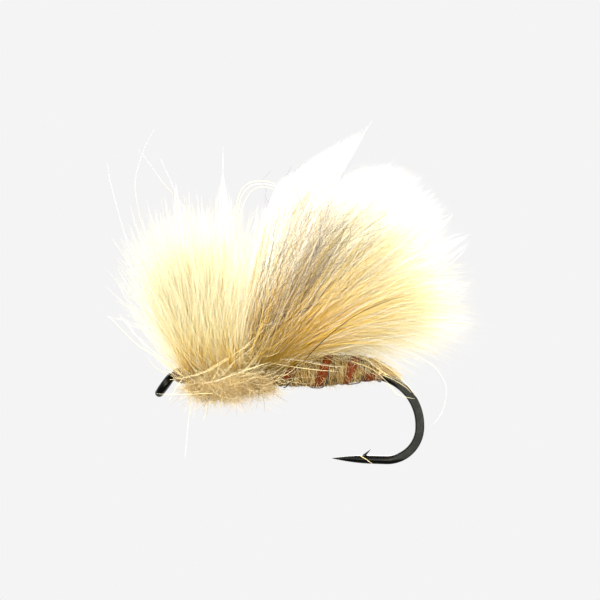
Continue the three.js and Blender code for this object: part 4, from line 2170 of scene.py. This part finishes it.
FLYAWAY_HAIRS = Hairs(
    name="flyaway_hairs",
    finish=Finish.PALE,
    thick=0.005,
    places=26,
    lines=(
        (
            (-1.5, -1.4, 11.0),
            (-1.9, -1.5, 13.1),
            (-1.9, -1.6, 14.5),
            (-1.2, -1.8, 16.6),
            (-0.5, -1.7, 17.9),
        ),
        (
            (0.05, -1.8, 4.5),
            (-1.3, -2.2, 7.4),
            (-2.3, -2.5, 9.6),
            (-3.4, -2.6, 13.4),
            (-3.8, -2.6, 15.4),
        ),
        ((0.75, -1.2, 13.2), (0.0, -1.4, 14.0), (-1.0, -1.5, 15.4), (-1.8, -1.5, 16.4)),
        (
            (2.15, -1.0, 10.5),
            (1.6, -1.2, 11.8),
            (0.9, -1.3, 13.2),
            (0.3, -1.4, 14.6),
            (-0.3, -1.4, 15.8),
        ),
        ((0.05, -1.6, 5.2), (-0.8, -1.8, 6.6), (-1.8, -2.0, 7.9), (-3.2, -2.1, 8.9)),
        ((0.6, -1.7, 3.4), (-1.9, -2.3, 4.1), (-2.75, -2.4, 4.55), (-3.9, -2.4, 4.8)),
        ((4.5, -0.9, 11.2), (4.25, -1.0, 13.2), (4.1, -1.1, 14.9), (4.1, -1.1, 16.6)),
        ((11.9, -1.0, 14.6), (13.0, -1.1, 16.3), (14.0, -1.1, 17.7), (14.5, -1.1, 18.5)),
        (
            (16.0, -1.2, 2.0),
            (17.6, -1.6, 1.9),
            (18.6, -1.8, 1.4),
            (19.4, -1.8, 0.3),
            (19.5, -1.7, -0.7),
            (19.2, -1.5, -1.9),
            (18.4, -1.4, -2.9),
        ),
        ((1.9, -0.5, -0.8), (1.7, -0.6, -2.2), (1.5, -0.7, -4.2), (1.4, -0.7, -5.2)),
    ),
)

CREAM_HAIRS = Hairs(
    name="cream_hairs",
    finish=Finish.STRAY,
    thick=0.02,
    places=22,
    lines=(
        (
            (6.1, -2.6, 6.4),
            (5.5, -2.5, 10.3),
            (5.45, -2.4, 12.0),
            (5.7, -2.3, 12.8),
            (6.2, -2.2, 13.5),
            (7.1, -2.1, 13.7),
            (8.3, -2.0, 13.2),
        ),
        (
            (5.6, -2.6, 6.4),
            (5.05, -2.5, 10.3),
            (5.05, -2.4, 12.0),
            (5.3, -2.3, 13.3),
            (6.0, -2.2, 14.0),
            (7.1, -2.1, 14.1),
            (8.0, -2.0, 13.8),
        ),
        (
            (5.8, -2.6, 6.4),
            (5.25, -2.5, 10.3),
            (5.2, -2.4, 12.0),
            (5.45, -2.3, 13.1),
            (6.1, -2.2, 13.8),
            (7.1, -2.1, 13.9),
            (8.1, -2.0, 13.6),
        ),
        ((14.5, -1.2, 1.9), (15.8, -0.9, 1.05), (16.8, -0.55, 0.1), (17.6, -0.42, -0.9)),
        ((13.8, -1.3, 2.0), (15.2, -0.9, 0.9), (16.3, -0.6, 0.35), (16.9, -0.45, -0.1)),
        ((13.0, -1.5, 1.7), (14.4, -1.0, 1.15), (15.3, -0.5, 0.4), (16.1, -0.42, -0.45)),
        ((15.5, -0.45, 0.15), (16.2, -0.42, -0.62), (16.8, -0.42, -0.83), (17.5, -0.42, -0.98)),
        ((15.2, -0.5, 0.7), (16.0, -0.45, 0.35), (16.8, -0.42, -0.15), (17.2, -0.42, -0.55)),
        ((13.65, -0.34, -4.95), (14.05, -0.34, -5.2), (14.55, -0.32, -5.55)),
        (
            (4.6, -1.9, 1.9),
            (3.0, -1.8, 1.0),
            (1.8, -1.4, 0.62),
            (0.6, -0.9, 0.42),
            (-0.2, -0.5, 0.32),
        ),
        ((3.4, -1.7, -0.5), (1.4, -1.0, -0.62), (0.2, -0.9, -0.62), (-0.6, -0.7, -0.58)),
        ((6.0, -2.0, 2.9), (4.4, -2.2, 1.9), (2.8, -1.9, 1.0), (1.4, -1.3, 0.55)),
        ((8.4, -1.6, 2.0), (6.0, -2.0, 1.2), (3.6, -2.0, 0.35), (2.6, -1.8, 0.2)),
        ((1.3, -1.1, 0.68), (0.0, -1.4, 1.8), (-1.6, -1.9, 3.2), (-3.0, -2.3, 5.0)),
        ((1.3, -1.1, 0.62), (-0.4, -1.2, 1.9), (-2.0, -1.5, 3.0), (-3.8, -1.8, 4.9)),
        ((1.4, -1.1, 0.6), (1.0, -1.0, 0.1), (0.65, -0.9, -0.5), (0.3, -0.8, -1.1)),
        ((7.4, -1.8, 1.6), (9.4, -1.7, 1.25), (11.2, -1.6, 1.05), (12.1, -1.5, 1.0)),
        ((7.6, -1.8, 2.1), (9.6, -1.8, 1.7), (11.6, -1.6, 1.35), (12.7, -1.4, 1.3)),
        ((8.2, -1.9, 1.75), (10.4, -2.0, 2.15), (12.2, -2.2, 2.5), (14.6, -2.4, 3.6)),
        ((4.6, -1.5, 1.2), (5.2, -1.7, 2.2), (6.6, -2.2, 3.6), (9.6, -2.8, 6.2)),
        ((3.4, -1.7, 0.4), (3.9, -1.8, 1.5), (3.6, -1.9, 2.4), (2.9, -1.9, 2.7)),
    ),
)

KINKY_HAIRS = Hairs(
    name="kinky_hairs",
    finish=Finish.WING,
    thick=0.02,
    places=40,
    lines=(
        (
            (7.3, -2.4, 6.0),
            (7.2, -2.5, 6.8),
            (6.5, -2.6, 7.5),
            (6.35, -2.6, 8.5),
            (6.5, -2.6, 9.3),
            (7.2, -2.5, 10.5),
            (7.6, -2.4, 11.2),
            (7.5, -2.3, 12.6),
        ),
        (
            (7.9, -2.2, 7.5),
            (7.9, -2.3, 8.2),
            (7.75, -2.3, 9.1),
            (7.8, -2.2, 10.6),
            (8.1, -2.1, 11.5),
            (8.2, -2.0, 12.9),
            (8.5, -1.9, 13.8),
            (8.9, -1.9, 14.6),
        ),
        ((12.3, -3.0, 5.9), (13.6, -3.1, 7.0), (15.0, -3.2, 8.0), (15.9, -3.2, 8.9)),
        ((13.6, -2.9, 8.2), (14.3, -2.9, 8.35), (14.9, -2.9, 8.9)),
        ((14.6, -2.6, 9.5), (15.15, -2.6, 9.7), (15.3, -2.6, 10.1)),
        (
            (9.0, -2.0, 11.8),
            (9.4, -2.0, 12.8),
            (9.2, -2.0, 13.6),
            (9.8, -2.0, 14.3),
            (9.9, -2.0, 14.9),
        ),
    ),
)


# ---------------------------------------------------------------- head


@dataclass
class Head:
    """The thread head under its varnish."""

    start: float = 0.56
    end: float = 1.62
    radius: Table = ((0.56, 0.36), (0.8, 0.48), (1.1, 0.6), (1.62, 0.64))
    thread: float = 0.034
    turns: int = 13
    laps: int = 3
    turn_places: int = 24
    thread_sides: int = 6
    lap_height: float = 0.9
    inset: float = 0.03
    drop: float = 0.01
    varnish_places: int = 15
    varnish_sides: int = 48
    varnish_thick: float = 0.03
    varnish_lip: Span = (0.02, 0.3)
    level: Table = ((0.0, 0.0), (2.0, 0.0))

    def coil(self) -> bpy.types.Object:
        """Winds the thread on, back over itself and forward again.

        Returns:
            The piece.
        """
        laps = []
        for lap in range(self.laps):
            turn = np.linspace(0, self.turns, self.turn_places * self.turns)
            ends = (self.start + self.inset, self.end - self.inset)
            x = np.interp(turn, (0, self.turns), ends)
            x = x if lap % 2 == 0 else x[::-1]
            below = 1 + self.lap_height * (self.laps - 1 - lap)
            size = along(self.radius, x) - self.thread * below
            angle = 2 * np.pi * (turn + lap * self.turns)
            laps.append(about_shank(x, angle, size, SHANK_Z - self.drop))
        wind = one_strand(np.concatenate(laps), self.thread, self.thread_sides)
        return wind.build("head_thread")

    def varnish(self) -> bpy.types.Object:
        """Models the clear coat over the thread.

        Returns:
            The piece.
        """
        before, narrower = self.varnish_lip
        places = list(np.linspace(self.start - before, self.end, self.varnish_places))
        size = [float(along(self.radius, x)) + self.varnish_thick for x in places]
        size[0] -= narrower
        outline = tuple(zip(places, size))
        return turned_body("head_cement", places, outline, self.level, self.varnish_sides)

    def build(self, dresser: Dresser) -> None:
        """Builds and finishes the head.

        Args:
            dresser: what finishes it.
        """
        dresser.dress(self.coil(), Finish.THREAD, "head_wraps")
        dresser.dress(self.varnish(), Finish.VARNISH, "head_varnish")


KEPT = {
    "thread_base": Finish.THREAD,
    "tail_wraps": Finish.THREAD,
    "body_tie_off_wraps": Finish.THREAD,
    "wing_wraps": Finish.THREAD,
    "front_hackle_wraps": Finish.THREAD,
    "front_hackle_quill": Finish.QUILL,
    "rear_hackle_quill": Finish.QUILL,
}


# ---------------------------------------------------------------- studio


@dataclass
class Studio:
    """A plain pale room with soft light, and a camera level with the fly."""

    pale: float = 0.905
    ambient: float = 2.2
    floor_z: float = -40.0
    aim: Point = (9.4325, 0.0, 5.929)
    lens: float = 100.0
    sensor: float = 36.0
    width: float = 42.0
    clip: Span = (0.001, 50.0)
    floor_radius: float = 9000.0
    floor_sides: int = 96
    floor_x: float = 9.0
    lamp_size: float = 180.0
    lamps: tuple[tuple[str, Point, float], ...] = (
        ("key", (-120, -200, 220), 1.7),
        ("low", (60, -220, -20), 1.5),
        ("rim", (60, 190, 160), 1.4),
    )

    def world(self) -> None:
        """Lights the room evenly from all round."""
        world = bpy.data.worlds.new("room")
        world.use_nodes = True
        world.node_tree.nodes.clear()
        tree = Shading(world.node_tree)
        seen = tree.add("ShaderNodeLightPath").outputs["Is Camera Ray"]
        strength = tree.add(
            "ShaderNodeMapRange", _Value=seen, _To_Min=self.ambient, _To_Max=self.pale
        )
        light = tree.add("ShaderNodeBackground", _Strength=strength.outputs[0])
        light.inputs["Color"].default_value = WHITE
        tree.add("ShaderNodeOutputWorld", _Surface=light.outputs[0])
        bpy.context.scene.world = world

    def floor(self) -> None:
        """Lays the pale floor."""
        clear_selection()
        bpy.ops.mesh.primitive_circle_add(
            vertices=self.floor_sides,
            radius=self.floor_radius * MM,
            fill_type="NGON",
            location=(self.floor_x * MM, 0, self.floor_z * MM),
        )
        floor = bpy.context.object
        floor.name = "floor"
        tree, made = Shading.material("pale_floor")
        shader = tree.add(
            "ShaderNodeBsdfPrincipled",
            _Base_Color=BLACK,
            _Roughness=1.0,
            _Specular_IOR_Level=0.0,
            _Emission_Color=WHITE,
            _Emission_Strength=self.pale,
        )
        tree.close(shader.outputs[0])
        floor.data.materials.append(made)

    def lamp(self, name: str, place: Point, watts: float) -> None:
        """Hangs a soft lamp that points at the fly.

        Args:
            name: the lamp's name.
            place: where it hangs.
            watts: its power.
        """
        data = bpy.data.lights.new(name, "AREA")
        data.size = self.lamp_size * MM
        data.energy = watts
        lamp = bpy.data.objects.new(name, data)
        here, there = np.array(place) * MM, np.array(self.aim) * MM
        lamp.location = here
        lamp.rotation_euler = self.facing(there - here)
        lamp.visible_camera = False
        bpy.context.scene.collection.objects.link(lamp)

    @staticmethod
    def facing(direction: np.ndarray) -> tuple[float, float, float]:
        """Finds the turn that points a lamp or a camera along a direction."""
        flat = math.hypot(direction[0], direction[1])
        return (math.atan2(flat, -direction[2]), 0.0, math.atan2(-direction[0], direction[1]))

    def camera(self) -> None:
        """Stands the camera square to the hook's plane."""
        data = bpy.data.cameras.new("camera")
        data.lens = self.lens
        data.sensor_width = self.sensor
        data.clip_start, data.clip_end = self.clip
        camera = bpy.data.objects.new("camera", data)
        away = self.width * self.lens / self.sensor
        camera.location = (self.aim[0] * MM, -away * MM, self.aim[2] * MM)
        camera.rotation_euler = (QUARTER_TURN, 0, 0)
        bpy.context.scene.collection.objects.link(camera)
        bpy.context.scene.camera = camera

    def build(self) -> None:
        """Builds the room, the lamps and the camera."""
        bpy.context.scene.view_settings.view_transform = "Standard"
        self.world()
        self.floor()
        for name, place, watts in self.lamps:
            self.lamp(name, place, watts)
        self.camera()


def main() -> None:
    """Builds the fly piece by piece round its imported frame."""
    logging.basicConfig(level=logging.INFO, format="%(message)s")
    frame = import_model()
    Studio().build()
    dresser = Dresser()
    nodes = frame["nodes"]
    Hook().build(dresser)
    Abdomen().build(dresser)
    Dubbing().build(dresser)
    for fan in (FRONT_HACKLE, REAR_HACKLE, WING, OVERWING):
        fan.build(dresser)
    Wisps().build(dresser)
    for hairs in (GUARD_HAIR, FLYAWAY_HAIRS, CREAM_HAIRS, KINKY_HAIRS):
        hairs.build(dresser)
    Head().build(dresser)
    for name, finish in KEPT.items():
        dresser.dress_node(nodes[name], finish)


if __name__ == "__main__":
    main()
